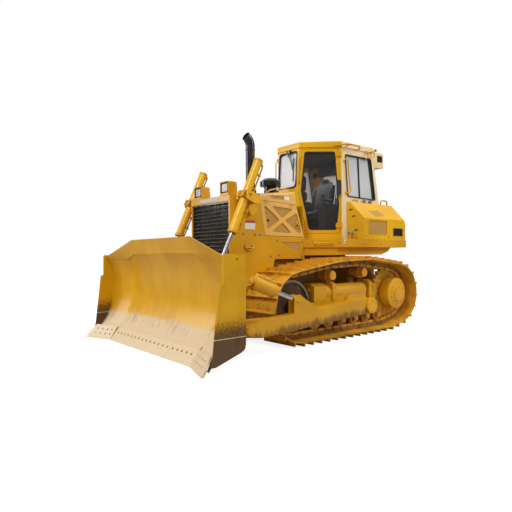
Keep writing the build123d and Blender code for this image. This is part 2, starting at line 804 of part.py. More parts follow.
def cab_solid(inset, z0, z1):
    """The six-sided cab's volume, its upright faces moved in by the inset."""
    a = door_origin - door_out * inset
    side_x = cab_half - inset
    corner = a + door_dir * ((side_x - a.X) / door_dir.X)
    nose = a - door_dir * ((a.X - 20) / door_dir.X)
    rear = cab_rear_low - inset
    plan = [(nose.X, nose.Y), (side_x, corner.Y), (side_x, rear + 300), (-side_x, rear + 300),
            (-side_x, corner.Y),
            (-nose.X, nose.Y)]
    lean_in = inset / cos(atan2(cab_rear_low - cab_rear_top, cab_eave - cab_sill))
    side = prism_x([(front_y(z0) + inset, z0), (front_y(z1) + inset, z1),
                    (cab_rear_top - lean_in - (z1 - cab_eave) * 0.2, z1), (cab_rear_low - lean_in, cab_sill),
                    (cab_rear_low - lean_in, z0)], -side_x - 10, side_x + 10)
    return prism_z(plan, z0, z1) & side


door_foot = deck_top + 120
door_window = [(99, cab_eave - 86), (634, cab_eave - 100), (690, 2251), (650, door_foot + 72),
               (169, door_foot + 78), (38, 2519)]
door_leaf_outline = [(60, cab_eave - 32), (688, cab_eave - 32), (736, 2251), (700, door_foot),
                     (118, door_foot),
                     (-18, 2519)]


def on_door(points, depth0, depth1):
    """A plate in the door's plane: (along, height) points, from depth0 to depth1 inwards."""
    corners = [door_origin + door_dir * u - door_out * depth0 + Vector(0, 0, z) for u, z in points]
    face = Face(Wire.make_polygon(corners, close=True))
    return Solid.extrude(face, door_out * -(depth1 - depth0))


def grown(points, by):
    """An outline moved outwards from its middle by about the given distance."""
    cu = (min(p[0] for p in points) + max(p[0] for p in points)) / 2
    cz = (min(p[1] for p in points) + max(p[1] for p in points)) / 2
    hu = max(p[0] for p in points) - cu
    hz = max(p[1] for p in points) - cz
    return [(cu + (u - cu) * (hu + by) / hu, cz + (z - cz) * (hz + by) / hz) for u, z in points]


side_window = [(1110, cab_eave - 127), (1861, cab_eave - 126), (1995, 2407), (1173, 2426)]
windshield_low, windshield_high, windshield_half = 2595, cab_eave - 50, 230
rear_window_half, rear_window_low, rear_window_high = 520, 2440, cab_eave - 260


def cab_shell():
    """The cab's walls with openings for the doors, the windscreen, and the side and rear windows."""
    body = cab_solid(0, deck_top, cab_eave) - cab_solid(cab_wall, deck_top + 40, cab_eave - 40)
    door_hole = on_door(grown(door_leaf_outline, door_gap), -60, cab_wall + 60)
    cuts = [door_hole, mirrored(door_hole), prism_x(side_window, -cab_half - 50, -cab_half + cab_wall + 30),
            prism_x(side_window, cab_half - cab_wall - 30, cab_half + 50),
            block(-windshield_half, windshield_half, 200, 560, windshield_low, windshield_high),
            block(-rear_window_half, rear_window_half, 1800, 2300, rear_window_low, rear_window_high)]
    return body.cut(*cuts)


keep("cab_shell", cab_shell())


def cab_roof():
    """The roof panel, a little wider than the walls, with a rounded edge."""
    plan_inset = -roof_overhang
    body = cab_solid(plan_inset, cab_eave, roof_top)
    top = [e for e in body.edges() if e.center().Z > roof_top - 1]
    return body.fillet(28, top)


keep("cab_roof", cab_roof())

unit_front = cab_rear_top - 36
unit_half = 640
unit_low, unit_top = cab_eave - 215, roof_top - 7
unit_depth = 610


def air_unit():
    """The air conditioner's housing that hangs behind the roof."""
    outline = [(unit_front, unit_low - 25), (unit_front + unit_depth - 10, unit_low + 12),
               (unit_front + unit_depth, unit_top - 38),
               (unit_front + unit_depth - 40, unit_top), (unit_front - 44, unit_top)]
    return prism_x(outline, -unit_half, unit_half) - cab_solid(-roof_overhang, unit_low - 85, unit_top + 2)


keep("air_unit", air_unit())

# glass
glass_inset = 30                # the panes sit this far inside the walls' outer faces
side_glass = prism_x(grown(side_window, -running_fit), cab_half - glass_inset,
                     cab_half - glass_inset + glass_thickness)


def pane(y0, low, y1, high, half):
    """A flat pane that leans from y0 at its foot to y1 at its top, a running fit inside its opening."""
    low, high, half = low + running_fit, high - running_fit, half - running_fit
    return prism_x([(y0, low), (y1, high), (y1 + glass_thickness, high), (y0 + glass_thickness, low)],
                   -half, half)


def windscreen():
    return pane(front_y(windshield_low) + 24, windshield_low, front_y(windshield_high) + 24,
                windshield_high, windshield_half)


def rear_glass():
    slope = (cab_rear_low - cab_rear_top) / (cab_eave - cab_sill)
    low_y, high_y = [cab_rear_low - (z - cab_sill) * slope - glass_inset for z in (rear_window_low,
                                                                                   rear_window_high)]
    return pane(low_y, rear_window_low, high_y, rear_window_high, rear_window_half)


keep("cab_glass", side_glass, mirrored(side_glass), windscreen(), rear_glass())


def cab_door():
    """A door leaf with its window opening, and the hinge knuckles on its rear edge."""
    leaf = on_door(door_leaf_outline, 0, door_thickness) - on_door(door_window, -5, door_thickness + 5)
    knuckles = []
    hinge = door_origin + door_dir * door_hinge_u + door_out * door_hinge_out
    for low in (deck_top + 210, cab_eave - 180):
        high = low + door_knuckle_height
        knuckles.append(bar((hinge.X, hinge.Y, low), (hinge.X, hinge.Y, high), 14))
        strap = [(640, low + 5), (door_hinge_u, low + 5), (door_hinge_u, high - 5), (640, high - 5)]
        knuckles.append(on_door(strap, -door_hinge_out - 5, 0))
    return fused(leaf, *knuckles)


keep_pair("cab_door", cab_door())
keep_pair("door_glass", on_door(grown(door_window, -0.4), 14, 14 + glass_thickness))

# inside the cab
floor_z = deck_top + 40
seat_front, seat_rear, seat_half = 860, 1380, 260
seat_foot, seat_cushion = floor_z + 350, floor_z + 490
dash_top = floor_z + 700
console_inner, console_outer = seat_half + 40, seat_half + 220
seat_back = prism_x([(seat_rear - 100, seat_cushion), (seat_rear + 20, seat_cushion),
                     (seat_rear + 160, seat_cushion + 650),
                     (seat_rear + 60, seat_cushion + 670)], 10 - seat_half, seat_half - 10)
keep("seat", fused(block(-seat_half, seat_half, seat_front, seat_rear, seat_foot, seat_cushion), seat_back))
dash_front, dash_rear, dash_half = cab_front_y + 46, seat_front - 200, 230
dash_cowl = prism_x([(dash_front - 15, dash_top), (dash_rear + 10, dash_top - 40),
                     (dash_rear + 10, dash_top + 10), (dash_front - 15, dash_top + 90)], -dash_half, dash_half)
dash = fused(block(-dash_half, dash_half, dash_front, dash_rear, floor_z, dash_top), dash_cowl)
seat_base = block(30 - seat_half, seat_half - 30, seat_front + 60, seat_rear - 20, floor_z, seat_foot)
console = block(console_inner, console_outer, seat_front + 60, seat_rear + 160, floor_z, seat_cushion + 120)
keep("cab_fittings", dash, seat_base, console, mirrored(console))

# ---------------------------------------------------------------- blade
end_thickness = 25
blade_inner = blade_half - end_thickness
wing_x = blade_inner - wing_start
wing_slope = -0.263             # the wings come forward this much for each mm out
wing_forward = wing_slope * wing_x
curve = [(-2261, 224), (-2016, 819), (-2165, 1417)]
crest_half, crest_z = 908, 1418         # the top edge is level this far out,
knee_x, knee_z = wing_start + 58, 1296  # falls to a knee on each wing and runs level again


def curve_face(x):
    """The mouldboard's section: a circular arc with a thickness."""
    (y0, z0), (ym, zm), (y1, z1) = curve
    front = Edge.make_three_point_arc((x, y0, z0), (x, ym, zm), (x, y1, z1))
    back = Edge.make_three_point_arc((x, y1 + mouldboard, z1), (x, ym + mouldboard, zm),
                                     (x, y0 + mouldboard, z0))
    return Face(Wire([front, Edge.make_line((x, y1, z1), (x, y1 + mouldboard, z1)), back,
                      Edge.make_line((x, y0 + mouldboard, z0), (x, y0, z0))]))


def mouldboard_solid():
    """The curved blade face: a straight middle and two wings turned forward, its top corners cut down."""
    centre = Solid.extrude(curve_face(-wing_start), Vector(2 * wing_start, 0, 0))
    wing = Solid.extrude(curve_face(wing_start), Vector(wing_x, wing_forward, 0))
    corner = prism_y([(crest_half, crest_z), (knee_x, knee_z), (blade_half + 100, knee_z),
                      (blade_half + 100, crest_z + 200),
                      (crest_half, crest_z + 200)], curve[0][0] - 800, curve[1][0] + 500)
    whole = fused(centre, wing, mirrored(wing))
    return whole.cut(corner, mirrored(corner))



def back_y(z):
    """Y of the mouldboard's back at a height, from the circle through its three points."""
    (y0, z0), (ym, zm), (y1, z1) = curve
    a = y0 * (zm - z1) - z0 * (ym - y1) + ym * z1 - y1 * zm
    b = (y0 ** 2 + z0 ** 2) * (z1 - zm) + (ym ** 2 + zm ** 2) * (z0 - z1) + (y1 ** 2 + z1 ** 2) * (zm - z0)
    c = (y0 ** 2 + z0 ** 2) * (ym - y1) + (ym ** 2 + zm ** 2) * (y1 - y0) + (y1 ** 2 + z1 ** 2) * (y0 - ym)
    cy, cz = -b / (2 * a), -c / (2 * a)
    radius = hypot(y0 - cy, z0 - cz)
    return cy + sqrt(radius ** 2 - (z - cz) ** 2) + mouldboard


tie_down_radius = 22


def end_plate():
    """The blade's side plate, with a step on its front edge and a hole to tie the machine down."""
    tip_y = curve[1][0] + wing_forward          # the mouldboard's deepest line where it meets the plate
    outline = [(157, 295), (165, 1380), (148, 1396), (-156, 1400), (-171, 1385), (-176, 1056), (-222, 1041),
               (-312, 278), (-343, 90), (-288, 90), (92, 215), (139, 245)]
    body = prism_x([(tip_y + y, z) for y, z in outline], blade_inner, blade_half)
    hole_y = tip_y + 27
    return body - bar((blade_inner - 50, hole_y, 1330), (blade_half + 50, hole_y, 1330), tie_down_radius)


def face_y(x, z):
    """Y of the mouldboard's front surface."""
    return back_y(z) - mouldboard + max(0, x - wing_start) * wing_slope


guard_sheet = 16


def spill_guard():
    """The folded sheet on the mouldboard's top edge that keeps the load from falling over it."""
    low = (crest_half, face_y(crest_half, crest_z), crest_z)
    knee = (knee_x, face_y(knee_x, knee_z), knee_z)
    end = (blade_inner, face_y(blade_inner, knee_z), knee_z)
    tip = (blade_inner, end[1] - 55, knee_z + 69)
    high = (crest_half - 24, low[1] - 54, crest_z + 223)
    facets = [(low, knee, high), (knee, tip, high), (knee, end, tip)]
    wing = [Solid.extrude(polygon(facet), Vector(0, guard_sheet, 0)) for facet in facets]
    centre = Solid.extrude(polygon([(-low[0], low[1], low[2]), low, high, (-high[0], high[1], high[2])]),
                           Vector(0, guard_sheet, 0))
    return fused(centre, *wing, *[mirrored(s) for s in wing])


keep("spill_guard", spill_guard())


edge_half = wing_start - 20
edge_reach = 192                # the edge's foot stands this far before the mouldboard's


def cutting_edge():
    """The bolted edge of the middle section."""
    y, z = curve[0]
    return prism_x([(y - edge_reach, blade_clearance), (y - edge_reach + 35, blade_clearance),
                    (y + mouldboard, z), (y - 6, z)],
                   -edge_half, edge_half)


bit_inner, bit_outer = edge_half + running_fit, blade_half - 2
bit_thickness = 28
bolt_square = 26


def bolt_hole(centre, along, up, back):
    """A square hole for a plough bolt, through a plate with these directions."""
    half_u, half_v = along.normalized() * bolt_square / 2, up.normalized() * bolt_square / 2
    corners = [centre - half_u - half_v, centre + half_u - half_v, centre + half_u + half_v,
               centre - half_u + half_v]
    return Solid.extrude(polygon([c - back * 5 for c in corners]), back * (bit_thickness + 10))


def corner_bit():
    """A corner bit, the same without its bolt holes, and the space before it.

    The bit is a thick plate that sweeps forward to the blade's tip.
    """
    low, y = blade_clearance, curve[0][0] - edge_reach
    inner_low, tip = Vector(bit_inner, y, low), Vector(bit_outer, y - 189, low)
    inner_high = Vector(bit_inner + 10, y + 138, low + 202)
    along, up = tip - inner_low, inner_high - inner_low
    corners = [inner_low, tip, tip + up * 0.35, inner_high + along * 0.86 + up * 0.05, inner_high]
    face = polygon(corners)
    back = face.normal_at() if face.normal_at().Y > 0 else face.normal_at() * -1
    holes = [bolt_hole(inner_low + along * u + up * v, along, up, back) for u in (0.14, 0.32, 0.52, 0.72)
             for v in (0.42, 0.74)]
    outside = block(0, blade_half * 2, y - 600, y + 600, low - 200, low)
    edge = block(bit_outer, blade_half * 2, y - 600, y + 600, low - 200, low + 600)
    plate = Solid.extrude(face, back * bit_thickness).cut(outside, edge)
    return plate.cut(*holes), plate, Solid.extrude(face, back * -400)


def wing_lip():
    """The lower lip of a wing, which the corner bit is bolted on."""
    y, z = curve[0]
    outline = [(y, z), (y + mouldboard, z), (y - 124, z - 184), (y - 159, z - 162)]
    return Solid.extrude(polygon([(wing_start, y, z) for y, z in outline]), Vector(wing_x, wing_forward, 0))


bit, bit_plate, bit_front = corner_bit()
lip = wing_lip().cut(bit_plate, bit_front)
keep("cutting_edges", cutting_edge(), bit, mirrored(bit))
board = fused(mouldboard_solid().cut(bit_plate, mirrored(bit_plate)), lip, mirrored(lip))
keep("mouldboard", board)
keep_both("end_plates", end_plate().cut(bit_plate))

beam_low = [(-2250, 300), (-1880, 300), (-1850, 330), (-1850, 540), (-1880, 570), (-2150, 570)]
beam_high = [(-2150, 1150), (-1900, 1150), (-1900, 1270), (-2150, 1290)]
rib_places = (-1000, -500, 0, 500, 1000)
rib_thickness = 24
beam_wing = wing_x - 79         # the beams end this short of the side plates


def beam(outline):
    """A box beam along the blade's back that turns forward with the wings."""
    middle = prism_x(outline, -wing_start, wing_start)
    end = Solid.extrude(polygon([(wing_start, y, z) for y, z in outline]),
                        Vector(beam_wing, wing_slope * beam_wing, 0))
    return fused(middle, end, mirrored(end))


def blade_room():
    """The space in front of the mouldboard's back."""
    (y0, z0), (ym, zm), (y1, z1) = [(y + mouldboard - 4, z) for y, z in curve]
    spans = []
    for x, run in ((-wing_start, Vector(2 * wing_start, 0, 0)),
                   (wing_start, Vector(wing_x, wing_forward, 0))):
        front = Edge.make_three_point_arc((x, y0, z0), (x, ym, zm), (x, y1, z1))
        corners = [(x, y1, z1), (x, y1 - 600, z1), (x, y0 - 600, z0), (x, y0, z0)]
        lines = [Edge.make_line(a, b) for a, b in zip(corners, corners[1:])]
        spans.append(Solid.extrude(Face(Wire([front, *lines])), run))
    return [spans[0], spans[1], mirrored(spans[1])]


def tilt_lugs(side):
    """Two lugs behind a wing for the front pin of the tilt cylinder or the brace."""
    y, z = tilt_front
    lugs = []
    for x in (-lug_gap - lug_plate, lug_gap):
        lugs.append(prism_x([(y - 330, z - 110), (y - 20, z - 60), (y + 45, z - 30), (y + 45, z + 30),
                             (y - 20, z + 60),
                             (y - 330, z + 110)], side * arm_x + x, side * arm_x + x + lug_plate))
    return lugs


def blade_back():
    """The blade's back: a low and a high box beam, ribs between them, and the cylinders' lugs."""
    ribs = []
    for x in rib_places:
        ribs.append(prism_x([(-2160, 560), (-1870, 560), (-1900, 1160), (-2160, 1160)],
                            x - rib_thickness / 2, x + rib_thickness / 2))
    lift_brackets = [*lift_bracket(), *[mirrored(s) for s in lift_bracket()]]
    body = fused(beam(beam_low), beam(beam_high), *ribs, *tilt_lugs(1), *tilt_lugs(-1), *lift_brackets)
    return body.cut(board, *blade_room())


def lift_bracket():
    """Two lugs and a pin on the blade's back for the lift cylinder's rod."""
    lugs = []
    for x in (lift_x - 70, lift_x + 48):
        lugs.append(prism_x([(lift_e_y + 40, lift_e_z - 60), (lift_e_y + 60, lift_e_z),
                             (lift_e_y + 40, lift_e_z + 60),
                             (-2000, lift_e_z + 140), (-2060, lift_e_z + 140), (-2060, lift_e_z - 140),
                             (-2000, lift_e_z - 140)], x, x + 22))
    pin = bar((lift_x - 70, lift_e_y, lift_e_z), (lift_x + 70, lift_e_y, lift_e_z), lift_pin_radius)
    return [lugs[0], lugs[1], pin]


arm_front = (-1615, 395)
arm_x = (arm_inner + arm_outer) / 2
lug_gap, lug_plate = 46, 18
tilt_rear, tilt_front = (-836, 735), (-1695, 1050)
back = blade_back()
keep("blade_back", back)
arm_bracket_pin = 26


def push_arm():
    """A welded box arm from the pivot behind the rollers to the blade's lower corner."""
    h = arm_height / 2
    body = prism_x([(-1850, 330), (-1850, 470), (-1540, arm_front[1] + h + 10),
                    (arm_pivot_y - 60, arm_pivot_z + 120),
                    (arm_pivot_y + 60, arm_pivot_z + 120), (arm_pivot_y + 135, arm_pivot_z + 60),
                    (arm_pivot_y + 135, arm_pivot_z - 60), (arm_pivot_y + 60, arm_pivot_z - 120),
                    (arm_pivot_y - 60, arm_pivot_z - 120), (-1540, arm_front[1] - h)], arm_inner, arm_outer)
    bore = bar((arm_inner - 50, arm_pivot_y, arm_pivot_z), (arm_outer + 50, arm_pivot_y, arm_pivot_z),
               trunnion_radius + pin_fit)
    y, z = tilt_rear
    ears = [prism_x([(-920, 480), (-290, 540), (-560, 660), (y + 75, z + 50), (y + 30, z + 80),
                     (y - 35, z + 75),
                     (y - 70, z + 30)], arm_x + x, arm_x + x + lug_plate) for x in (-lug_gap - lug_plate,
                                                                                    lug_gap)]
    pin = bar((arm_x - lug_gap - lug_plate - 8, y, z), (arm_x + lug_gap + lug_plate + 8, y, z),
              arm_bracket_pin)
    return fused(body, *ears, pin).cut(bore, back)


arm = push_arm()
keep_both("push_arms", arm)


def on_tilt(s, out=0, side=1):
    """A point at a distance from the front pin along the tilt cylinder's line, and out above it."""
    (y0, z0), (y1, z1) = tilt_front, tilt_rear
    dy, dz = (y1 - y0) / tilt_length, (z1 - z0) / tilt_length
    return (side * arm_x, y0 + dy * s - dz * out, z0 + dz * s + dy * out)


tilt_length = hypot(tilt_rear[0] - tilt_front[0], tilt_rear[1] - tilt_front[1])
tilt_eye = 48


def eye_at(s, side, hole):
    """A bored eye across the tilt cylinder's line."""
    x, y, z = on_tilt(s, 0, side)
    half = lug_gap - 1
    return bar((x - half, y, z), (x + half, y, z), tilt_eye, hole)


def tilt_barrel():
    """The tilt cylinder's barrel, gland and front eye, and the oil pipe along its top."""
    return fused(bar(on_tilt(75), on_tilt(455), 93), bar(on_tilt(455), on_tilt(492), 84),
                 bar(on_tilt(20), on_tilt(76), 40),
                 bar(on_tilt(110, 112), on_tilt(440, 112), 26), bar(on_tilt(420, 60), on_tilt(420, 112), 24),
                 bar(on_tilt(130, 60), on_tilt(130, 112), 24), eye_at(0, 1, 0))


def tilt_rod():
    """The tilt cylinder's rod and its eye on the arm's pin."""
    pin_hole = arm_bracket_pin + pin_fit
    rod_ = fused(bar(on_tilt(492), on_tilt(tilt_length - 20), 34), eye_at(tilt_length, 1, 0))
    (x, y, z) = on_tilt(tilt_length)
    return rod_ - bar((x - 60, y, z), (x + 60, y, z), pin_hole)


def tilt_brace():
    """The fixed brace over the right arm, with an eye at each end."""
    (x, y, z) = on_tilt(tilt_length, 0, -1)
    tube = fused(bar(on_tilt(75, 0, -1), on_tilt(tilt_length - 120, 0, -1), 62),
                 bar(on_tilt(0, 0, -1), on_tilt(tilt_length, 0, -1), 36),
                 eye_at(0, -1, 0), eye_at(tilt_length, -1, 0))
    return tube - bar((x - 60, y, z), (x + 60, y, z), arm_bracket_pin + pin_fit)


def arm_strut():
    """A round strut from the arm's inner side to the blade's low beam."""
    return bar((arm_inner + 30, -1150, 485), (1120, -1880, 450), 45).cut(arm, back)


keep("tilt_cylinder", tilt_barrel(), tilt_rod())
strut = arm_strut()
keep("blade_braces", tilt_brace(), strut, mirrored(strut))

# ---------------------------------------------------------------- lift cylinders
axis_y, axis_z = lift_e_y - lift_t_y, lift_e_z - lift_t_z
lift_length = hypot(axis_y, axis_z)
axis_y, axis_z = axis_y / lift_length, axis_z / lift_length


def along_lift(s, x=lift_x):
    return (x, lift_t_y + axis_y * s, lift_t_z + axis_z * s)


def lift_barrel():
    """The barrel with its gland, top cap and two trunnion pins."""
    body = bar(along_lift(-lift_above), along_lift(lift_below), lift_barrel_radius)
    bore = bar(along_lift(-lift_above + 40), along_lift(lift_below - 60), lift_bore_radius)
    throat = bar(along_lift(lift_below - 61), along_lift(lift_below + 1), lift_rod_radius + pin_fit)
    collar = bar(along_lift(-45), along_lift(45), lift_barrel_radius + 14)
    pins_ = bar((lift_x - 105, lift_t_y, lift_t_z), (lift_x + 105, lift_t_y, lift_t_z), trunnion_pin)
    return fused(body, collar, pins_).cut(bore, throat)


keep_pair("lift_barrel", lift_barrel())
lift_rod_length = 1450


def lift_rod():
    """The polished rod with its eye."""
    rod_ = bar(along_lift(lift_length - lift_rod_length), along_lift(lift_length), lift_rod_radius)
    eye = bar((lift_x - 40, lift_e_y, lift_e_z), (lift_x + 40, lift_e_y, lift_e_z),
              lift_pin_radius + lift_eye_play + 24)
    hole = bar((lift_x - 50, lift_e_y, lift_e_z), (lift_x + 50, lift_e_y, lift_e_z),
               lift_pin_radius + lift_eye_play)
    return fused(rod_, eye) - hole


keep_pair("lift_rod", lift_rod())


def lift_yoke():
    """The yoke on the guard that holds the barrel's trunnion pins."""
    y, z = lift_t_y, lift_t_z
    outer = lift_x + 122
    inner_lug = prism_x([(y - 58, z - 40), (y - 30, z - 62), (y + 100, z - 136), (y + 193, z - 282),
                         (y + 331, z - 199),
                         (y + 172, z - 18), (y + 60, z + 60), (y - 30, z + 62), (y - 58, z + 40)],
                        guard_half, guard_half + 70)
    outer_lug = prism_x([(y - 58, z - 40), (y - 30, z - 62), (y + 100, z - 115), (y + 188, z - 100),
                         (y + 188, z - 18),
                         (y + 60, z + 60), (y - 30, z + 62), (y - 58, z + 40)], outer - 40, outer)
    bridge = prism_x([(y + 128, z - 115), (y + 188, z - 100), (y + 188, z - 18), (y + 128, z + 18)],
                     guard_half, outer)
    hole = bar((guard_half + 30, y, z), (outer + 50, y, z), trunnion_pin + pin_fit)
    return fused(inner_lug, outer_lug, bridge) - hole


keep_both("lift_yokes", lift_yoke())

# ---------------------------------------------------------------- write the parts
os.makedirs("parts", exist_ok=True)
for name, shape in parts.items():
    export_step(shape, os.path.join("parts", name + ".step"))
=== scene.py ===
from math import atan2, cos, hypot, pi, radians, sin, sqrt

import bmesh
import bpy
from mathutils import Matrix, Vector


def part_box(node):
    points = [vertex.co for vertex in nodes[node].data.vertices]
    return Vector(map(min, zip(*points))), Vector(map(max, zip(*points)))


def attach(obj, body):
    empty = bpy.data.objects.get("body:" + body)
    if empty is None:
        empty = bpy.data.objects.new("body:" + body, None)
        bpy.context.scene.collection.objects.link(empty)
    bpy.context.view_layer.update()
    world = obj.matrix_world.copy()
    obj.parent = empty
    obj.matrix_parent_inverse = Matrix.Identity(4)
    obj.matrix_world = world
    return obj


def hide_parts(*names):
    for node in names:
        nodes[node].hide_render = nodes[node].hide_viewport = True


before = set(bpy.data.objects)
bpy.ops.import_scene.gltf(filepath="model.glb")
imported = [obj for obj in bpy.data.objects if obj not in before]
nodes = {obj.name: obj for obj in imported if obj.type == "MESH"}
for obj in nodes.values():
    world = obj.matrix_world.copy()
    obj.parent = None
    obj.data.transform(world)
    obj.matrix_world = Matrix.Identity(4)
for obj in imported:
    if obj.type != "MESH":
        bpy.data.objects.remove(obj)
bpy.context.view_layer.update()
SIDES = (("l", 1), ("r", -1))           # the machine's left is +X

# ------------------------------------------------------------------ view, floor and light
# The machine is seen from its left front, level, from a standing person's eye height.
# It stands on a white floor under soft light from all round, with a key light high on its left.
camera_place = Vector((6.1941, -5.4850, 1.3880))
camera_yaw, camera_pitch, camera_roll = 0.8766, 0.0032, -0.0089
lens = 32.67

ahead = Vector((-sin(camera_yaw) * cos(camera_pitch), cos(camera_yaw) * cos(camera_pitch),
                -sin(camera_pitch)))
right = Vector((cos(camera_yaw), sin(camera_yaw), 0))
up = right.cross(ahead)
tilted_right = right * cos(camera_roll) + up * sin(camera_roll)
tilted_up = up * cos(camera_roll) - right * sin(camera_roll)
camera = bpy.data.objects.new("camera", bpy.data.cameras.new("camera"))
camera.matrix_world = Matrix.Translation(camera_place) @ Matrix((tilted_right, tilted_up,
                                                                 -ahead)).transposed().to_4x4()
camera.data.lens = lens
camera.data.sensor_width = 36
bpy.context.collection.objects.link(camera)
bpy.context.scene.camera = camera
bpy.context.scene.view_settings.view_transform = "Standard"


class Signal:
    """A shader socket that works in sums like a number."""

    def __init__(self, tree, socket=None):
        self.tree, self.socket = tree, socket

    def node(self, kind, settings=None, inputs=None, output=0):
        """Any other node: its type, its settings and the values or signals on its sockets."""
        made = self.tree.nodes.new(kind)
        for name, value in (settings or {}).items():
            setattr(made, name, value)
        for name, value in (inputs or {}).items():
            if isinstance(value, Signal):
                self.tree.links.new(value.socket, made.inputs[name])
            else:
                made.inputs[name].default_value = value
        return Signal(self.tree, made.outputs[output])

    def maths(self, operation, *terms):
        return self.node("ShaderNodeMath", {"operation": operation}, dict(enumerate(terms)))

    def __add__(self, other):
        return self.maths("ADD", self, other)

    def __sub__(self, other):
        return self.maths("SUBTRACT", self, other)

    def __rsub__(self, other):
        return self.maths("SUBTRACT", other, self)

    def __mul__(self, other):
        return self.maths("MULTIPLY", self, other)

    def __truediv__(self, other):
        return self.maths("DIVIDE", self, other)

    __radd__, __rmul__ = __add__, __mul__

    def __abs__(self):
        return self.maths("ABSOLUTE", self)

    def step(self, low, high):
        """0 at low, 1 at high, smooth between; low may be above high."""
        if low > high:
            return 1 - self.step(high, low)
        return self.node("ShaderNodeMapRange", {"interpolation_type": "SMOOTHSTEP"},
                         {"Value": self, "From Min": low, "From Max": high})

    def between(self, first, second):
        """A colour that goes from first to second as this goes from 0 to 1."""
        return self.node("ShaderNodeMix", {"data_type": "RGBA"}, {0: self, 6: first, 7: second}, 2)

    def noise(self, scale, detail=3, rough=0.55, stretch=(1, 1, 1)):
        """Cloudy noise over a place, at a scale in cells per metre."""
        spread = self.node("ShaderNodeVectorMath", {"operation": "MULTIPLY"}, {0: self, 1: stretch})
        return self.node("ShaderNodeTexNoise", {}, {"Vector": spread, "Scale": scale, "Detail": detail,
                                                    "Roughness": rough})

    def axis(self, index):
        return self.node("ShaderNodeSeparateXYZ", {}, {0: self}, index)


def srgb(red, green, blue):
    """A colour from its 0 to 255 screen values."""
    return tuple((v / 255 / 12.92 if v < 10.3 else ((v / 255 + 0.055) / 1.055) ** 2.4)
                 for v in (red, green, blue)) + (1,)


def material(name, build, **fixed):
    """A principled material. build gets its place and normal, and returns the values for its sockets."""
    made = bpy.data.materials.new(name)
    made.use_nodes = True
    tree = made.node_tree
    shader = tree.nodes["Principled BSDF"]
    start = Signal(tree)
    place = start.node("ShaderNodeTexCoord", output=3)
    normal = start.node("ShaderNodeTexCoord", output=1)
    for socket, value in fixed.items():
        shader.inputs[socket.replace("_", " ")].default_value = value
    for socket, value in build(place, normal).items():
        if socket == "Bump":
            height, strength, distance = value
            value = start.node("ShaderNodeBump", {},
                               {"Strength": strength, "Distance": distance, "Height": height})
            socket = "Normal"
        tree.links.new(value.socket, shader.inputs[socket])
    return made


def white_world():
    """Even light from all round, darker in reflections, and plain white behind the machine."""
    world = bpy.data.worlds.new("studio")
    bpy.context.scene.world = world
    world.use_nodes = True
    tree = world.node_tree
    start = Signal(tree)
    height = start.node("ShaderNodeTexCoord").axis(2)
    soft = height.step(-0.2, 0.6).between((0.26, 0.25, 0.24, 1), (0.66, 0.66, 0.66, 1))
    mirrored = height.step(0.0, 0.7).between((0.06, 0.055, 0.05, 1), (0.50, 0.50, 0.50, 1))
    colour = start.node("ShaderNodeLightPath", output=3).between(soft, mirrored)
    colour = start.node("ShaderNodeLightPath", output=0).between(colour, (1, 1, 1, 1))
    tree.links.new(colour.socket, tree.nodes["Background"].inputs["Color"])


def area_light(name, place, size, power, colour=(1, 1, 1)):
    data = bpy.data.lights.new(name, "AREA")
    data.shape, data.size, data.energy, data.color = "DISK", size, power, colour
    lamp = bpy.data.objects.new(name, data)
    lamp.location = place
    lamp.rotation_euler = (Vector((0, place[1] if size < 1 else 0,
                                   1.2)) - Vector(place)).to_track_quat("-Z", "Y").to_euler()
    bpy.context.collection.objects.link(lamp)


white_world()
area_light("key", (3.5, -7.0, 9.0), 3.0, 500, (1, 0.98, 0.94))
area_light("left_rear", (8.8, 6.5, 8.0), 5.0, 530)
area_light("right_front", (-6.5, -7.5, 4.8), 5.0, 350)
area_light("top_rear", (2.0, 6.0, 9.0), 4.0, 200)
area_light("cab_lamp", (0.0, 1.25, 3.19), 0.35, 6)


def white_paper(place, normal):
    """White board that looks evenly lit to the camera, and throws back only its own light."""
    fleck = place.noise(3, 2)
    return {"Base Color": fleck.between((0.42, 0.42, 0.42, 1), (0.46, 0.46, 0.46, 1)),
            "Emission Color": place.node("ShaderNodeLightPath", output=0)}


floor_mesh = bpy.data.meshes.new("floor")
floor_mesh.from_pydata([(-90, -90, 0), (90, -90, 0), (90, 90, 0), (-90, 90, 0)], [], [(0, 1, 2, 3)])
floor = bpy.data.objects.new("floor", floor_mesh)
floor_mesh.materials.append(material("white_floor", white_paper, Roughness=0.9, Emission_Strength=0.84))
bpy.context.collection.objects.link(floor)

# ------------------------------------------------------------------ finishes
# Machine-yellow enamel is sprayed on all sheet, plate and castings before assembly. It fades and
# gathers dust on top, and soil splashes it brown near the ground, where the tracks throw it.
YELLOW = srgb(216, 160, 18)
YELLOW_DEEP = srgb(200, 142, 12)
DIRT = srgb(84, 58, 34)
DUST = srgb(206, 172, 108)
CREAM_HIGHLIGHT = srgb(236, 214, 168)


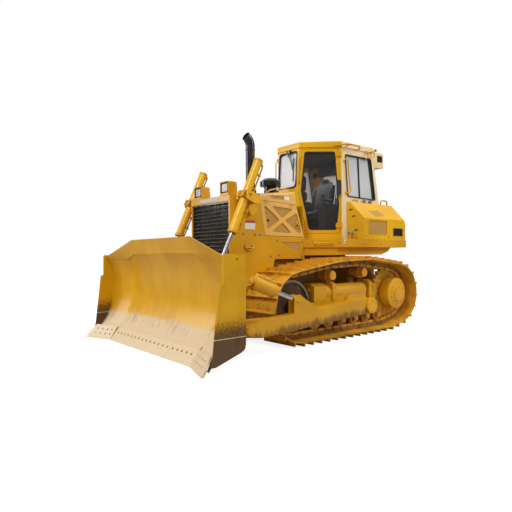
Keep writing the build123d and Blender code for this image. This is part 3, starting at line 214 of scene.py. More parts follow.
def enamel(dirt_top, dirt_reach, dust=0.25, tint=YELLOW, deep=YELLOW_DEEP, soil=0.8, side=None):
    """Yellow enamel, dirty below dirt_top over dirt_reach metres; side is a painted highlight colour for
    faces that face along X.
    """
    def build(place, normal):
        cloud = place.noise(5, 4, 0.6)
        speck = place.noise(55, 5, 0.7)
        fine = place.noise(240, 2)
        low = place.axis(2).step(dirt_top, dirt_top - dirt_reach)
        dirt = ((cloud * 0.75 + speck * 0.8) * low).step(0.58, 0.95) * soil
        settled = normal.axis(2).step(0.5, 0.95) * cloud.step(0.3, 0.75) * dust
        paint = place.noise(0.9, 1).step(0.3, 0.7).between(tint, deep)
        chips = speck.step(0.74, 0.78) * low
        # Faces that face along X take the side colour: a painted highlight.
        if side is not None:
            paint = abs(normal.axis(0)).step(0.90, 0.98).between(paint, side)
        colour = dirt.between(settled.between(paint, DUST), DIRT)
        colour = chips.between(colour, srgb(70, 50, 38))
        rough = cloud * 0.10 + 0.27 + dirt * 0.4 + settled * 0.5
        return {"Base Color": colour, "Roughness": rough, "Coat Weight": (1 - dirt) * 0.22,
                "Bump": (fine * 0.4 + speck * dirt * 2, 0.10, 0.0006)}
    return build


def enamelled(name, *paint, coat=0.1, shine=0.25, **more):
    """A material of that enamel, with its clear coat's roughness and its shine."""
    return material(name, enamel(*paint, **more), Coat_Roughness=coat, Specular_IOR_Level=shine)


# A lighter copy of the yellow is painted light: it stands for the stronger light on the cab, its doors, the
# tank, the boxes and the lift cylinders.
BRIGHT, BRIGHT_DEEP = srgb(230, 176, 20), srgb(216, 160, 14)
upper_paint = enamelled("upper_paint", 1.2, 1.0, 0.12, soil=0.5)
lower_paint = enamelled("lower_paint", 1.05, 0.95, 0.2, srgb(228, 168, 28), srgb(212, 152, 20), 0.75,
                        coat=0.15, shine=0.3)
lit_yellow_paint = enamelled("lit_yellow_paint", 1.2, 1.0, 0.12, BRIGHT, BRIGHT_DEEP, 0.5)
# The engine cover's faces that face along X take a pale gold painted highlight.
cover_highlight_paint = enamelled("cover_highlight_paint", 1.2, 1.0, 0.12, soil=0.5, side=srgb(226, 178, 92))
# The cab is in the lighter copy of the yellow, and its faces that face along X take a cream painted
# highlight.
cab_highlight_paint = enamelled("cab_highlight_paint", 1.2, 1.0, 0.12, BRIGHT, BRIGHT_DEEP, 0.5, srgb(232, 206, 160))
# The hull's deeper orange is painted shade, for the dark under the deck and between the tracks; its dirt
# reaches higher and is darker towards the bottom.
hull_shade_and_dirt_paint = material("hull_shade_and_dirt_paint", enamel(1.35, 0.9, 0.2, srgb(166, 112, 16), srgb(132, 88, 16), 0.9),
                      Specular_IOR_Level=0.25)
# The air unit's cream stands for the glossy highlight on it: a painted highlight.
cream_highlight_paint = material("cream_highlight_paint", enamel(0.5, 0.5, 0.1, CREAM_HIGHLIGHT, srgb(226, 196, 140)), Coat_Roughness=0.1)


def arm_look(place, normal):
    """The push arms' enamel, with soil smeared along their lower half."""
    streak = place.noise(7, 5, 0.65, (1, 1, 0.35))
    speck = place.noise(90, 4, 0.7)
    above = place.axis(2) - place.axis(1) * 0.0618 - 0.490
    soil = (streak * 1.1 + speck * 0.5 + above.step(0.09, -0.11) * 0.62).step(1.02, 1.42) * 0.78
    paint = place.noise(1.2, 2).step(0.3, 0.7).between(YELLOW, YELLOW_DEEP)
    return {"Base Color": soil.between(paint, srgb(92, 62, 36)), "Roughness": soil * 0.4 + 0.3,
            "Coat Weight": (1 - soil) * 0.2, "Bump": (speck * soil + streak * 0.3, 0.15, 0.001)}


arm_paint = material("arm_paint", arm_look, Coat_Roughness=0.15, Specular_IOR_Level=0.3)


def blade_look(place, normal, sooty=True):
    """Ochre enamel, scraped by soil to pale steel over the lower third, with streaks up and down."""
    cloud = place.noise(2.2, 4, 0.6)
    streak = place.noise(9, 5, 0.65, (1, 0.3, 0.08))
    scratch = place.noise(60, 3, 0.6, (1, 0.3, 0.03))
    speck = place.noise(50, 5, 0.7)
    height = place.axis(2)
    paint = (cloud * 0.6 + streak * 0.4).step(0.35, 0.65).between(srgb(214, 160, 20), srgb(200, 144, 14))
    worn = (height.step(0.71, 0.2) + streak * 0.5 + scratch * 0.3 - 0.5).step(0.34, 0.56)
    smudge = (streak * 0.7 + scratch * 0.5).step(0.59, 0.70)
    smudge = smudge * height.step(0.75, 0.45) * height.step(0.22, 0.36)
    bare = (speck * 0.5).between(srgb(214, 196, 164), srgb(190, 164, 124))
    bare = (smudge * 0.5).between(bare, srgb(150, 112, 84))
    edge = abs(place.axis(0)).step(1.66, 1.79)
    colour = (worn * 0.9).between(paint, bare)
    soot = height * 0
    if sooty:
        grime = place.noise(70, 5, 0.7, (1, 1, 0.5))
        foot = (height + cloud * 0.05).step(0.425, 0.41) * (cloud * 0.9 + 0.5)
        soot = ((grime * 0.9 + height.step(0.80, 0.38) * 0.42).step(0.58, 0.82) + foot * 0.9) * edge
        soot = soot.maths("MINIMUM", soot, 1.0)
        seam = (height - 0.400).step(0.012, 0.004) * (height - 0.400).step(-0.004, 0.004)
        colour = (seam * edge).between((soot * 0.92).between(colour, srgb(78, 50, 22)), srgb(226, 196, 140))
    return {"Base Color": colour, "Roughness": 0.30 + worn * 0.15 + soot * 0.3 + scratch * 0.06,
            "Coat Weight": (1 - worn) * 0.15,
            "Bump": (scratch * worn + speck * 0.3, 0.12, 0.0008)}


blade_paint = material("blade_paint", blade_look, Coat_Roughness=0.2, Specular_IOR_Level=0.2)
edge_paint = material("edge_paint", lambda place, normal: blade_look(place, normal, False),
                      Coat_Roughness=0.2)


def cast_steel(dark, light):
    """Cast steel that was once yellow, in cloudy tones with brown specks."""
    def build(place, normal):
        cloud = place.noise(8, 4, 0.6)
        speck = place.noise(48, 5, 0.7)
        colour = speck.step(0.62, 0.80).between(cloud.step(0.30, 0.55).between(dark, light), srgb(96, 64, 34))
        return {"Base Color": colour, "Roughness": speck * 0.3 + 0.40,
                "Metallic": speck.step(0.6, 0.4) * 0.15,
                "Bump": (speck + cloud, 0.25, 0.0015)}
    return build


chain_steel = material("chain_steel", cast_steel(srgb(184, 126, 28), srgb(216, 158, 36)))
roller_steel = material("roller_steel", cast_steel(srgb(132, 86, 26), srgb(190, 132, 36)))


def brown_look(place, normal):
    cloud = place.noise(9, 4, 0.6)
    speck = place.noise(60, 4, 0.7)
    colour = cloud.step(0.35, 0.7).between(srgb(62, 42, 28), srgb(104, 72, 40))
    colour = speck.step(0.55, 0.8).between(colour, srgb(142, 110, 70))
    return {"Base Color": colour, "Roughness": cloud * 0.3 + 0.45, "Metallic": speck.step(0.7, 0.4) * 0.4,
            "Bump": (speck + cloud, 0.25, 0.0015)}


brown_steel = material("brown_steel", brown_look)


def black_look(place, normal):
    cloud = place.noise(12, 3)
    dust = normal.axis(2).step(0.4, 1.0) * cloud.step(0.3, 0.7) * 0.35
    colour = cloud.step(0.3, 0.8).between(srgb(20, 20, 22), srgb(36, 35, 34))
    return {"Base Color": dust.between(colour, srgb(120, 106, 84)),
            "Roughness": cloud * 0.2 + 0.2 + dust * 0.3,
            "Bump": (place.noise(180, 2), 0.08, 0.0004)}


black_paint = material("black_paint", black_look, Coat_Weight=0.4, Coat_Roughness=0.08)


def mottled(noise, reach, first, second, rough, alpha=None):
    """A noise that goes from one colour to another over its reach, and changes roughness and alpha."""
    def build(place, normal):
        mottle = place.noise(*noise)
        values = {"Base Color": mottle.step(*reach).between(first, second),
                  "Roughness": mottle * rough[0] + rough[1]}
        if alpha:
            values["Alpha"] = mottle * alpha[0] + alpha[1]
        return values
    return build


chrome = material("chrome", mottled((5, 2, 0.5), (0.3, 0.8), (0.80, 0.81, 0.82, 1), (0.62, 0.62, 0.62, 1),
                                    (0.12, 0.08)), Metallic=1)
glass = material("glass", mottled((4, 3), (0.3, 0.8), (0.20, 0.21, 0.22, 1), (0.12, 0.13, 0.13, 1),
                                  (0.05, 0.02), (0.08, 0.03)),
                 IOR=1.45)
# The cab's other panes are pale grey and half clear: a painted reflection on the glass.
painted_reflection_glass = material("painted_reflection_glass", mottled((2.5, 3), (0.3, 0.8), (0.76, 0.77, 0.78, 1),
                                                (0.66, 0.68, 0.70, 1), (0.1, 0.08),
                                                (0.15, 0.54)), IOR=1.45)


def grained(dark, light, cloud=(5, 2), grain=(260, 2), rough=(0.2, 0.5), bump=(0.2, 0.0005)):
    """A moulded or woven stuff: a slow change of colour under a fine grain that also dents it."""
    def build(place, normal):
        fine = place.noise(*grain)
        return {"Base Color": place.noise(*cloud).between(dark, light),
                "Roughness": fine * rough[0] + rough[1],
                "Bump": (fine, *bump)}
    return build


dark_plastic = material("dark_plastic", grained(srgb(34, 35, 37), srgb(54, 55, 57)))


def soften(made, width, segments=2, angle=35):
    """Rounds a CAD node's or a piece's sharp edges as plate, castings and mouldings have them."""
    weld = made.modifiers.new("weld", "WELD")
    weld.merge_threshold = 0.0002
    bevel = made.modifiers.new("bevel", "BEVEL")
    bevel.width, bevel.segments = width, segments
    bevel.limit_method, bevel.angle_limit = "ANGLE", radians(angle)
    bevel.use_clamp_overlap = True
    normals = made.modifiers.new("normals", "WEIGHTED_NORMAL")
    normals.keep_sharp = False
    normals.weight = 60


def dress(look, width, *names):
    """Gives CAD nodes their finish and their edge radius in metres."""
    for name in names:
        mesh = nodes[name].data
        mesh.materials.clear()
        mesh.materials.append(look)
        if width:
            soften(nodes[name], width)


dress(lit_yellow_paint, 0.006, "cab_door_l", "cab_door_r", "fuel_tank", "side_boxes", "lift_yokes")
dress(lit_yellow_paint, 0.003, "lift_barrel_l", "lift_barrel_r")
dress(cover_highlight_paint, 0.006, "engine_door_l", "engine_door_r", "hood")
dress(upper_paint, 0.006,
      "headlights", "platform", "radiator_guard", "side_skirts")
dress(cab_highlight_paint, 0.006, "cab_roof")
dress(cab_highlight_paint, 0.003, "cab_shell")
dress(cream_highlight_paint, 0.012, "air_unit")
dress(hull_shade_and_dirt_paint, 0.006, "hull")
dress(lower_paint, 0.006, "final_drives", "rear_hitch", "tilt_cylinder", "track_frames", "blade_braces")
dress(arm_paint, 0.006, "push_arms")
dress(blade_paint, 0.004, "mouldboard", "spill_guard", "blade_back")
dress(blade_paint, 0, "end_plates")
dress(edge_paint, 0, "cutting_edges")
dress(chain_steel, 0.003, "track_l", "track_r", "sprockets")
dress(roller_steel, 0.004, "rollers")
dress(brown_steel, 0.004, "idlers")
dress(black_paint, 0.003, "precleaner")
dress(black_paint, 0, "exhaust_stack", "grille", "engine")
dress(chrome, 0.003, "lift_rod_l", "lift_rod_r")
dress(glass, 0, "door_glass_l", "door_glass_r")
dress(painted_reflection_glass, 0, "cab_glass")
dress(dark_plastic, 0.02, "cab_fittings", "seat")

# ------------------------------------------------------------------ tracks
# Each track is a chain of forged links on pressed-in pins, with a rolled single-grouser shoe
# bolted on every link by four bolts. The sprocket's teeth push on the bushings round the pins.


class Work:
    """Builds one piece's mesh from turned, swept, cut-out and bolted forms."""

    def __init__(self):
        self.mesh = bmesh.new()

    def skin(self, rings, caps=True):
        """Joins rings of equally many points into a closed skin."""
        made = [[self.mesh.verts.new(p) for p in ring] for ring in rings]
        count = len(rings[0])
        for low, high in zip(made, made[1:]):
            for i in range(count):
                j = (i + 1) % count
                self.mesh.faces.new((low[i], low[j], high[j], high[i]))
        if caps:
            self.mesh.faces.new(made[0][::-1])
            self.mesh.faces.new(made[-1])

    def lathe(self, place, axis, profile, steps=24, caps=True):
        """A turned form: (distance along the axis, radius) pairs round an axis through a place."""
        turn = Vector(axis).normalized().to_track_quat("Z", "Y").to_matrix()
        rings = []
        for along, radius in profile:
            rings.append([Vector(place) + turn @ Vector((radius * cos(2 * pi * i / steps),
                                                         radius * sin(2 * pi * i / steps), along))
                          for i in range(steps)])
        self.skin(rings, caps)

    def bolt(self, place, axis, radius=0.014):
        """A hexagon bolt head on its washer."""
        self.lathe(place, axis, [(-0.002, radius * 1.45), (radius * 0.2, radius * 1.45),
                                 (radius * 0.22, radius * 1.05)], 12)
        self.lathe(place, axis, [(0, radius), (radius * 0.75, radius), (radius * 0.95, radius * 0.78)], 6)

    def bolts_round(self, place, axis, count, reach, size, start=0.0, first=(0, 1, 0), second=(0, 0, 1)):
        """Bolts on a circle of some reach in the plane of two directions, from a share of a step on."""
        for k in range(count):
            a = 2 * pi * (k + start) / count
            self.bolt(Vector(place) + Vector(first) * (reach * cos(a)) + Vector(second) * (reach * sin(a)),
                      axis, size)

    def slab(self, outline, depth):
        """A flat outline with a thickness."""
        self.skin([[Vector(p) for p in outline], [Vector(p) + Vector(depth) for p in outline]])

    def tube(self, points, radius, steps=10, bend=0.03):
        """A round bar or pipe along points, its corners rounded by a bend radius."""
        points = [Vector(p) for p in points]
        path = [points[0]]
        for before, corner, after in zip(points, points[1:], points[2:]):
            a = (before - corner).normalized() * min(bend, (before - corner).length / 2)
            b = (after - corner).normalized() * min(bend, (after - corner).length / 2)
            path += [corner + a * (1 - t) ** 2 + b * t ** 2 for t in (0, 0.25, 0.5, 0.75, 1)]
        path.append(points[-1])
        side, rings = None, []
        for i, p in enumerate(path):
            run = (path[min(i + 1, len(path) - 1)] - path[max(i - 1, 0)]).normalized()
            if side is None:
                side = run.orthogonal()
            side = (side - run * side.dot(run)).normalized()
            other = run.cross(side)
            rings.append([p + (side * cos(2 * pi * k / steps) + other * sin(2 * pi * k / steps)) * radius
                          for k in range(steps)])
        self.skin(rings)

    def crowned(self, low, high, crown=(0.04, 0.04, 0.04), cells=10):
        """A stuffed pad between two corners, its faces swelling out and its edges rounded."""
        middle, half = (Vector(low) + Vector(high)) / 2, (Vector(high) - Vector(low)) / 2
        corners = {}

        def corner(*grid):
            if grid not in corners:
                p = Vector(2 * g / cells - 1 for g in grid)
                place = middle.copy()
                for i in range(3):
                    u, v = p[(i + 1) % 3], p[(i + 2) % 3]
                    swell = crown[i] * ((1 - u * u) * (1 - v * v) - 0.6 * max(abs(u), abs(v)) ** 8 - 1)
                    place[i] += p[i] * (half[i] + swell)
                corners[grid] = self.mesh.verts.new(place)
            return corners[grid]

        for axis in range(3):
            for level in (0, cells):
                for a in range(cells):
                    for b in range(cells):
                        quad = []
                        for da, db in ((0, 0), (1, 0), (1, 1), (0, 1)):
                            grid = [0, 0, 0]
                            grid[axis], grid[(axis + 1) % 3], grid[(axis + 2) % 3] = level, a + da, b + db
                            quad.append(corner(*grid))
                        self.mesh.faces.new(quad)
        return list(corners.values())

    def mirror(self):
        """The same forms on the other side of the machine too."""
        forms = self.mesh.verts[:] + self.mesh.edges[:] + self.mesh.faces[:]
        copy = bmesh.ops.duplicate(self.mesh, geom=forms)["geom"]
        for v in copy:
            if isinstance(v, bmesh.types.BMVert):
                v.co.x = -v.co.x
        bmesh.ops.reverse_faces(self.mesh, faces=[f for f in copy if isinstance(f, bmesh.types.BMFace)])

    def done(self, name, look, body="chassis", slot="yellow_paint", radius=0, smooth=40, flip=False,
             stands_for=()):
        """Turns the forms into a piece that rides on a body."""
        mesh = bpy.data.meshes.new(name)
        copy = self.mesh.copy()
        if flip:
            bmesh.ops.transform(copy, matrix=Matrix.Scale(-1, 4, (1, 0, 0)), verts=copy.verts)
        bmesh.ops.recalc_face_normals(copy, faces=copy.faces)
        copy.to_mesh(mesh)
        copy.free()
        mesh.shade_smooth()
        mesh.set_sharp_from_angle(angle=radians(smooth))
        mesh.materials.append(look)
        made = bpy.data.objects.new(name, mesh)
        bpy.context.collection.objects.link(made)
        if radius:
            soften(made, radius)
        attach(made, body)
        if stands_for:
            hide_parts(*stands_for)
        return made

    def both(self, name, look, body="chassis", **more):
        """The forms of the left side and their mirror image, in one piece."""
        self.mirror()
        return self.done(name, look, body, **more)

    def pair(self, name, look, body, **more):
        """A left piece and its mirror image, on the bodies of each side."""
        for side, sign in SIDES:
            self.done(f"{name}_{side}", look, body.format(side), flip=sign < 0, **more)


def works(count):
    return [Work() for _ in range(count)]


def middle(node):
    low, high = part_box(node)
    return (Vector(low) + Vector(high)) / 2


link_steel = material("link_steel", cast_steel(srgb(72, 46, 22), srgb(150, 102, 34)))
rubbed_steel = material("rubbed_steel", mottled((70, 4, 0.7), (0.4, 0.7), srgb(172, 160, 146),
                                                srgb(112, 92, 72), (0.2, 0.3)),
                        Metallic=0.85)
track_x = middle("track_l").x
link_pitch, shoe_count, teeth = 0.188, 43, 31
pin_radius = link_pitch / 2 / sin(2 * pi / teeth)
link_top, link_foot, link_eye = 0.056, 0.058, 0.036
shoe_top = link_top + 0.014
grouser, roller_radius = 0.0549, 0.0873
roller_height = grouser + shoe_top + link_foot + roller_radius
roller_circle, carrier_circle = roller_radius + link_foot, 0.1633
carriers = [(1.203, 1.062), (0.365, 1.037)]
sprocket, idler = middle("sprockets"), middle("idlers")
wheels = [(sprocket.y, sprocket.z, pin_radius)] + [(y, z, carrier_circle) for y, z in carriers]
wheels += [(idler.y, idler.z, pin_radius + 0.006), (1.781, roller_height, roller_circle)]


def belt_points(circles, count):
    """Points at equal steps round a belt over circles (y, z, radius)."""
    normals, spans = [], []
    for (y0, z0, r0), (y1, z1, r1) in zip(circles, circles[1:] + circles[:1]):
        span = hypot(y1 - y0, z1 - z0)
        dy, dz, k = (y1 - y0) / span, (z1 - z0) / span, (r0 - r1) / span
        h = sqrt(1 - k * k)
        normals.append(atan2(k * dz - h * dy, k * dy + h * dz))
    for i, (y, z, r) in enumerate(circles):
        start, turn = normals[i - 1], (normals[i] - normals[i - 1]) % (2 * pi)
        after_y, after_z, after_r = circles[(i + 1) % len(circles)]
        a = (y + r * cos(normals[i]), z + r * sin(normals[i]))
        b = (after_y + after_r * cos(normals[i]), after_z + after_r * sin(normals[i]))
        spans.append((r * turn, lambda s, y=y, z=z, r=r,
                      t=start: (y + r * cos(t + s / r), z + r * sin(t + s / r))))
        run = hypot(b[0] - a[0], b[1] - a[1])
        spans.append((run, lambda s, a=a, b=b, n=run:
                      (a[0] + (b[0] - a[0]) * s / n, a[1] + (b[1] - a[1]) * s / n)))
    total = sum(length for length, _ in spans)
    for i in range(count):
        s = total * i / count
        for length, at in spans:
            if s <= length:
                break
            s -= length
        yield at(s)


pins = list(belt_points(wheels, shoe_count))
links, shoe_bolts, bushings = works(3)
for i, (y0, z0) in enumerate(pins):
    y1, z1 = pins[(i + 1) % shoe_count]
    span = hypot(y1 - y0, z1 - z0)
    along, out = Vector((0, y1 - y0, z1 - z0)) / span, Vector((0, z1 - z0, y0 - y1)) / span
    pin = Vector((track_x, y0, z0))
    for side in (-1, 1):
        face = Vector((side * 0.094, 0, 0))
        eye = [(link_eye * cos(a), link_eye * sin(a)) for a in [radians(90 + 30 * k) for k in range(7)]]
        waist = [(0.06, -0.018), (0.125, -0.018)]
        far_eye = [(span - a, -b) for a, b in eye]
        rail = [(span - 0.02, link_top - 0.004), (0.02, link_top - 0.004)]
        offset = side * (0.009 if i % 2 else 0.006)
        links.slab([pin + face + along * a + out * b for a, b in eye + waist + far_eye + rail],
                   (offset, 0, 0))
        links.lathe(pin + face, (side, 0, 0), [(0, 0.030), (0.013, 0.028), (0.014, 0.017), (0.011, 0.015)],
                    14)
        for share in (0.3, 0.68):
            place = pin + along * span * share + out * shoe_top + Vector((side * 0.062, 0, 0))
            shoe_bolts.bolt(place, out, 0.015)
    bushings.lathe(pin - Vector((0.051, 0, 0)), (1, 0, 0), [(0, 0.031), (0.102, 0.031)], 14)
links.pair("chain_links", link_steel, "chassis", slot="worn_steel", radius=0.002)
shoe_bolts.pair("shoe_bolts", chain_steel, "chassis", slot="worn_steel")
bushings.pair("bushings", rubbed_steel, "chassis", slot="worn_steel")

# ------------------------------------------------------------------ rollers, frames and final drives
# Cast rollers turn on oil-filled shafts in bolted saddles. The welded roller frame carries the
# recoil spring in a tube, and the final drive's hub holds the sprocket by a ring of bolts.
roller_ends, frame_bolts, drive_bolts, rim = works(4)
saddle_face = track_x + 0.165
for i in range(6):
    y = 1.640 - 0.330 * i
    roller_ends.lathe((saddle_face - 0.002, y, roller_height), (1, 0, 0),
                      [(0, 0.036), (0.012, 0.036), (0.016, 0.030), (0.016, 0.014), (0.010, 0.012)], 18)
    for dy in (-0.034, 0.034):
        frame_bolts.bolt((saddle_face, y + dy, roller_height + 0.055), (1, 0, 0), 0.010)
for y, top in carriers:
    z = min(top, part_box("rollers")[1][2] - 0.105 if y > 1 else 1.030)
    roller_ends.lathe((track_x + 0.168, y, z), (1, 0, 0),
                      [(0, 0.079), (0.010, 0.078), (0.022, 0.064), (0.026, 0.040), (0.026, 0.001)], 22)
    frame_bolts.bolts_round((track_x + 0.180, y, z), (1, 0, 0), 5, 0.060, 0.007)
roller_ends.both("roller_ends", lower_paint, radius=0.002)
drive = middle("final_drives")
drive_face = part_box("final_drives")[1][0]
for x, count, reach, size, start in ((drive_face - 0.030, 14, 0.190, 0.015, 0.5),
                                     (track_x + 0.036, 20, 0.325, 0.016, 0),
                                     (drive_face, 8, 0.118, 0.011, 0)):
    drive_bolts.bolts_round((x, drive.y, drive.z), (1, 0, 0), count, reach, size, start)
drive_bolts.lathe((drive_face, drive.y, drive.z), (1, 0, 0),
                  [(0, 0.088), (0.003, 0.086), (0.003, 0.03), (0.0035, 0.02)], 28)
drive_bolts.both("final_drive_bolts", lower_paint)
for y in (0.405, 1.380):
    for dy in (-0.028, 0.028):
        for z in (0.650, 0.830):
            frame_bolts.bolt((track_x + 0.172, y + dy, z), (1, 0, 0), 0.011)
for y in (-0.20, -0.02, 0.16):
    for z in (0.640, 0.825):
        frame_bolts.bolt((track_x + 0.170, y, z), (1, 0, 0), 0.010)
trunnion = Vector((1.594, 0.805, 0.540))
frame_bolts.bolts_round(trunnion, (1, 0, 0), 10, 0.092, 0.010)
frame_bolts.both("frame_bolts", lower_paint)
tread = (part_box("idlers")[1][2] - idler.z) - 0.022
rim.lathe((track_x + 0.1065, idler.y, idler.z), (1, 0, 0),
          [(0, tread - 0.003), (0.0012, tread - 0.004), (0.0012, tread - 0.040), (0, tread - 0.041)], 64,
          caps=False)
rim.both("idler_rims", rubbed_steel, slot="worn_steel")

# ------------------------------------------------------------------ engine cover and radiator guard
# Sheet-steel panels are bolted on a frame round the engine. The side doors are pressed with a
# crossed frame over perforated sheet, and the guard's front is a welded plate with a black grille.
cover_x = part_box("hood")[1][0]
guard_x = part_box("radiator_guard")[1][0]


def perforated(tint):
    """Sheet punched with small round holes, painted dark for the shade behind the sheet that shows through
    them.
    """
    def build(place, normal):
        spread = place.node("ShaderNodeVectorMath", {"operation": "MULTIPLY"}, {0: place, 1: (0, 1, 1)})
        cells = place.node("ShaderNodeTexVoronoi", {"feature": "F1"},
                           {"Vector": spread, "Scale": 80.0, "Randomness": 0.0})
        hole = cells.step(0.42, 0.34)
        grime = place.noise(14, 4, 0.6).step(0.35, 0.7)
        paint = grime.between(tint, srgb(186, 142, 66))
        # The holes are darkened: painted shade of the space behind the sheet.
        return {"Base Color": (hole * 0.42).between(paint, srgb(112, 78, 30)), "Roughness": hole * 0.4 + 0.4,
                "Bump": (1 - hole, 0.25, 0.002)}
    return build


def label(name, colour, rough=0.4):
    def build(place, normal):
        grime = place.noise(30, 4, 0.65)
        return {"Base Color": grime.step(0.5, 0.9).between(colour, srgb(150, 128, 96)),
                "Roughness": grime * 0.2 + rough}
    return material(name, build)


white_film = label("white_film", srgb(226, 224, 216))
red_film = label("red_film", srgb(176, 42, 34))
plate_film = label("plate_film", srgb(178, 182, 186))
lamp_lens = label("lamp_lens", srgb(150, 152, 150), 0.1)
zinc = material("zinc", mottled((90, 3), (0.4, 0.7), srgb(168, 166, 160), srgb(120, 112, 100), (0.25, 0.3)),
                Metallic=0.8)
rubber = material("rubber", grained(srgb(16, 16, 17), srgb(34, 33, 32), (6, 3), (300, 2), (0.2, 0.6),
                                    (0.15, 0.0004)))
mesh_sheet = material("mesh_sheet", perforated(srgb(196, 150, 62)))


def rounded(points, radius, steps=4):
    """A flat outline with its corners rounded."""
    points = [Vector(p) for p in points]
    outline = []
    for i, corner in enumerate(points):
        before, after = points[i - 1], points[(i + 1) % len(points)]
        a = (before - corner).normalized() * min(radius, (before - corner).length / 2.1)
        b = (after - corner).normalized() * min(radius, (after - corner).length / 2.1)
        outline += [corner + a * (1 - k / steps) ** 2 + b * (k / steps) ** 2 for k in range(steps + 1)]
    return outline


def oblong(middle_u, middle_v, half, first, second):
    """Four corners of an upright rectangle in a plane, from one level to the other."""
    return [(middle_u - half, middle_v + first), (middle_u + half, middle_v + first),
            (middle_u + half, middle_v + second), (middle_u - half, middle_v + second)]


def at_level(level, outline, axis=0):
    """An outline of (other, z) corners set up at a level along X, or along Y for axis 1."""
    return [(a, level, z) if axis else (level, a, z) for a, z in outline]


def panel(work, level, outline, depth, radius=0, axis=0):
    """A flat sheet at a level along X or Y, with a thickness and rounded corners."""
    corners = at_level(level, outline, axis)
    work.slab(rounded(corners, radius) if radius else corners, (0, depth, 0) if axis else (depth, 0, 0))


def frame_strip(work, points, out, width, height, radius=0.03, inward=0.0):
    """A raised strip that runs round an outline, as a seal or a pressed bead does."""
    outline = rounded(points, radius)
    centre = sum(outline, Vector()) / len(outline)
    rings = []
    for grow, lift in ((0, inward), (0, height), (width, height), (width, inward)):
        rings.append([p + (p - centre).normalized() * grow + Vector(out) * lift for p in outline])
    for ring, following in zip(rings, rings[1:] + rings[:1]):
        made = [[work.mesh.verts.new(p) for p in r] for r in (ring, following)]
        for i in range(len(outline)):
            j = (i + 1) % len(outline)
            work.mesh.faces.new((made[0][i], made[0][j], made[1][j], made[1][i]))


door_panels = [[(-0.610, 2.178), (-0.290, 1.957), (-0.538, 1.812)],
               [(-0.438, 2.172), (0.008, 2.149), (-0.219, 2.004)],
               [(-0.148, 1.953), (0.105, 2.084), (0.212, 1.775), (0.165, 1.747)],
               [(-0.224, 1.910), (-0.026, 1.749), (-0.436, 1.765)]]
door_mesh, door_beads, latches, latch_dark = works(4)
sunk = cover_x - 0.010
for outline in door_panels:
    panel(door_mesh, sunk, outline, 0.0015, 0.035)
    frame_strip(door_beads, at_level(cover_x, outline), (1, 0, 0), 0.012, 0.004, 0.035, -0.0095)
for y, z, w, h in ((-0.534, 1.962, 0.075, 0.120), (0.118, 1.896, 0.062, 0.110)):
    frame_strip(latches, at_level(cover_x, oblong(y, z, w / 2, h / 2, -h / 2)), (1, 0, 0), -0.012, 0.006,
                0.02)
    panel(latches, cover_x - 0.001, oblong(y, z, w * 0.32, h * 0.36, -h * 0.05), 0.008, 0.012)
    panel(latch_dark, cover_x - 0.001, oblong(y, z, w * 0.3, -h * 0.08, -h * 0.36), 0.003, 0.01)
door_mesh.pair("engine_door_mesh", mesh_sheet, "engine_cover_{}")
door_beads.pair("engine_door_beads", upper_paint, "engine_cover_{}")
latches.pair("engine_door_latches", upper_paint, "engine_cover_{}", radius=0.002)
latch_dark.pair("engine_door_latch_wells", black_paint, "engine_cover_{}", slot="black_paint")

# The upper strip's vent, the skirt's vent, and the screws, handrail and stickers of the fixed panels.
vents, screws, rails, stickers, red_bands, handle = works(6)
panel(vents, sunk, ((-0.490, 2.350), (-0.057, 2.350), (-0.047, 2.289), (-0.441, 2.292)), 0.0015, 0.02)
panel(vents, sunk, ((-0.249, 1.587), (0.207, 1.585), (0.199, 1.421), (-0.131, 1.508)), 0.0015, 0.03)
for y, z in ((-0.335, 1.615), (0.241, 1.603), (-0.301, 1.374), (0.232, 1.360)):
    screws.bolt((cover_x, y, z), (1, 0, 0), 0.013)
for y, z in ((-1.075, 1.709), (-0.837, 1.701), (-0.741, 1.696), (-1.10, 1.36), (-0.52, 1.36)):
    screws.bolt((guard_x, y, z), (1, 0, 0), 0.014)
rails.tube([(0.50, -0.517, 2.385), (0.50, -0.446, 2.442), (0.50, -0.283, 2.474), (0.50, 0.020, 2.490),
            (0.50, 0.045, 2.455)], 0.011, bend=0.06)
panel(stickers, cover_x - 0.002, ((-0.182, 2.347), (-0.060, 2.350), (-0.050, 2.290), (-0.172, 2.293)), 0.003,
      0.004)
panel(stickers, guard_x, ((-1.037, 1.876), (-0.840, 1.880), (-0.842, 1.778), (-1.045, 1.782)), 0.0015)
panel(red_bands, guard_x, ((-1.036, 1.915), (-0.839, 1.919), (-0.840, 1.880), (-1.037, 1.876)), 0.0015)
grip = ((-0.01, -1.030, 1.560), (0.02, -1.050, 1.500), (0.02, -0.970, 1.440), (0.02, -0.890, 1.500),
        (-0.01, -0.915, 1.555))
handle.tube([(guard_x + out, y, z) for out, y, z in grip], 0.012, bend=0.05)
handle.tube([(guard_x + 0.012, -1.060, 1.495), (guard_x + 0.012, -0.880, 1.495)], 0.010)
handle.tube([(guard_x - 0.004, -0.706, 1.575), (guard_x - 0.004, -0.825, 1.415)], 0.009)
vents.both("cover_vents", mesh_sheet)
screws.both("cover_screws", zinc, slot="yellow_paint")
rails.both("cover_handrails", upper_paint)
stickers.both("blank_stickers", white_film)
red_bands.both("sticker_bands", red_film)
handle.both("guard_handles", upper_paint)

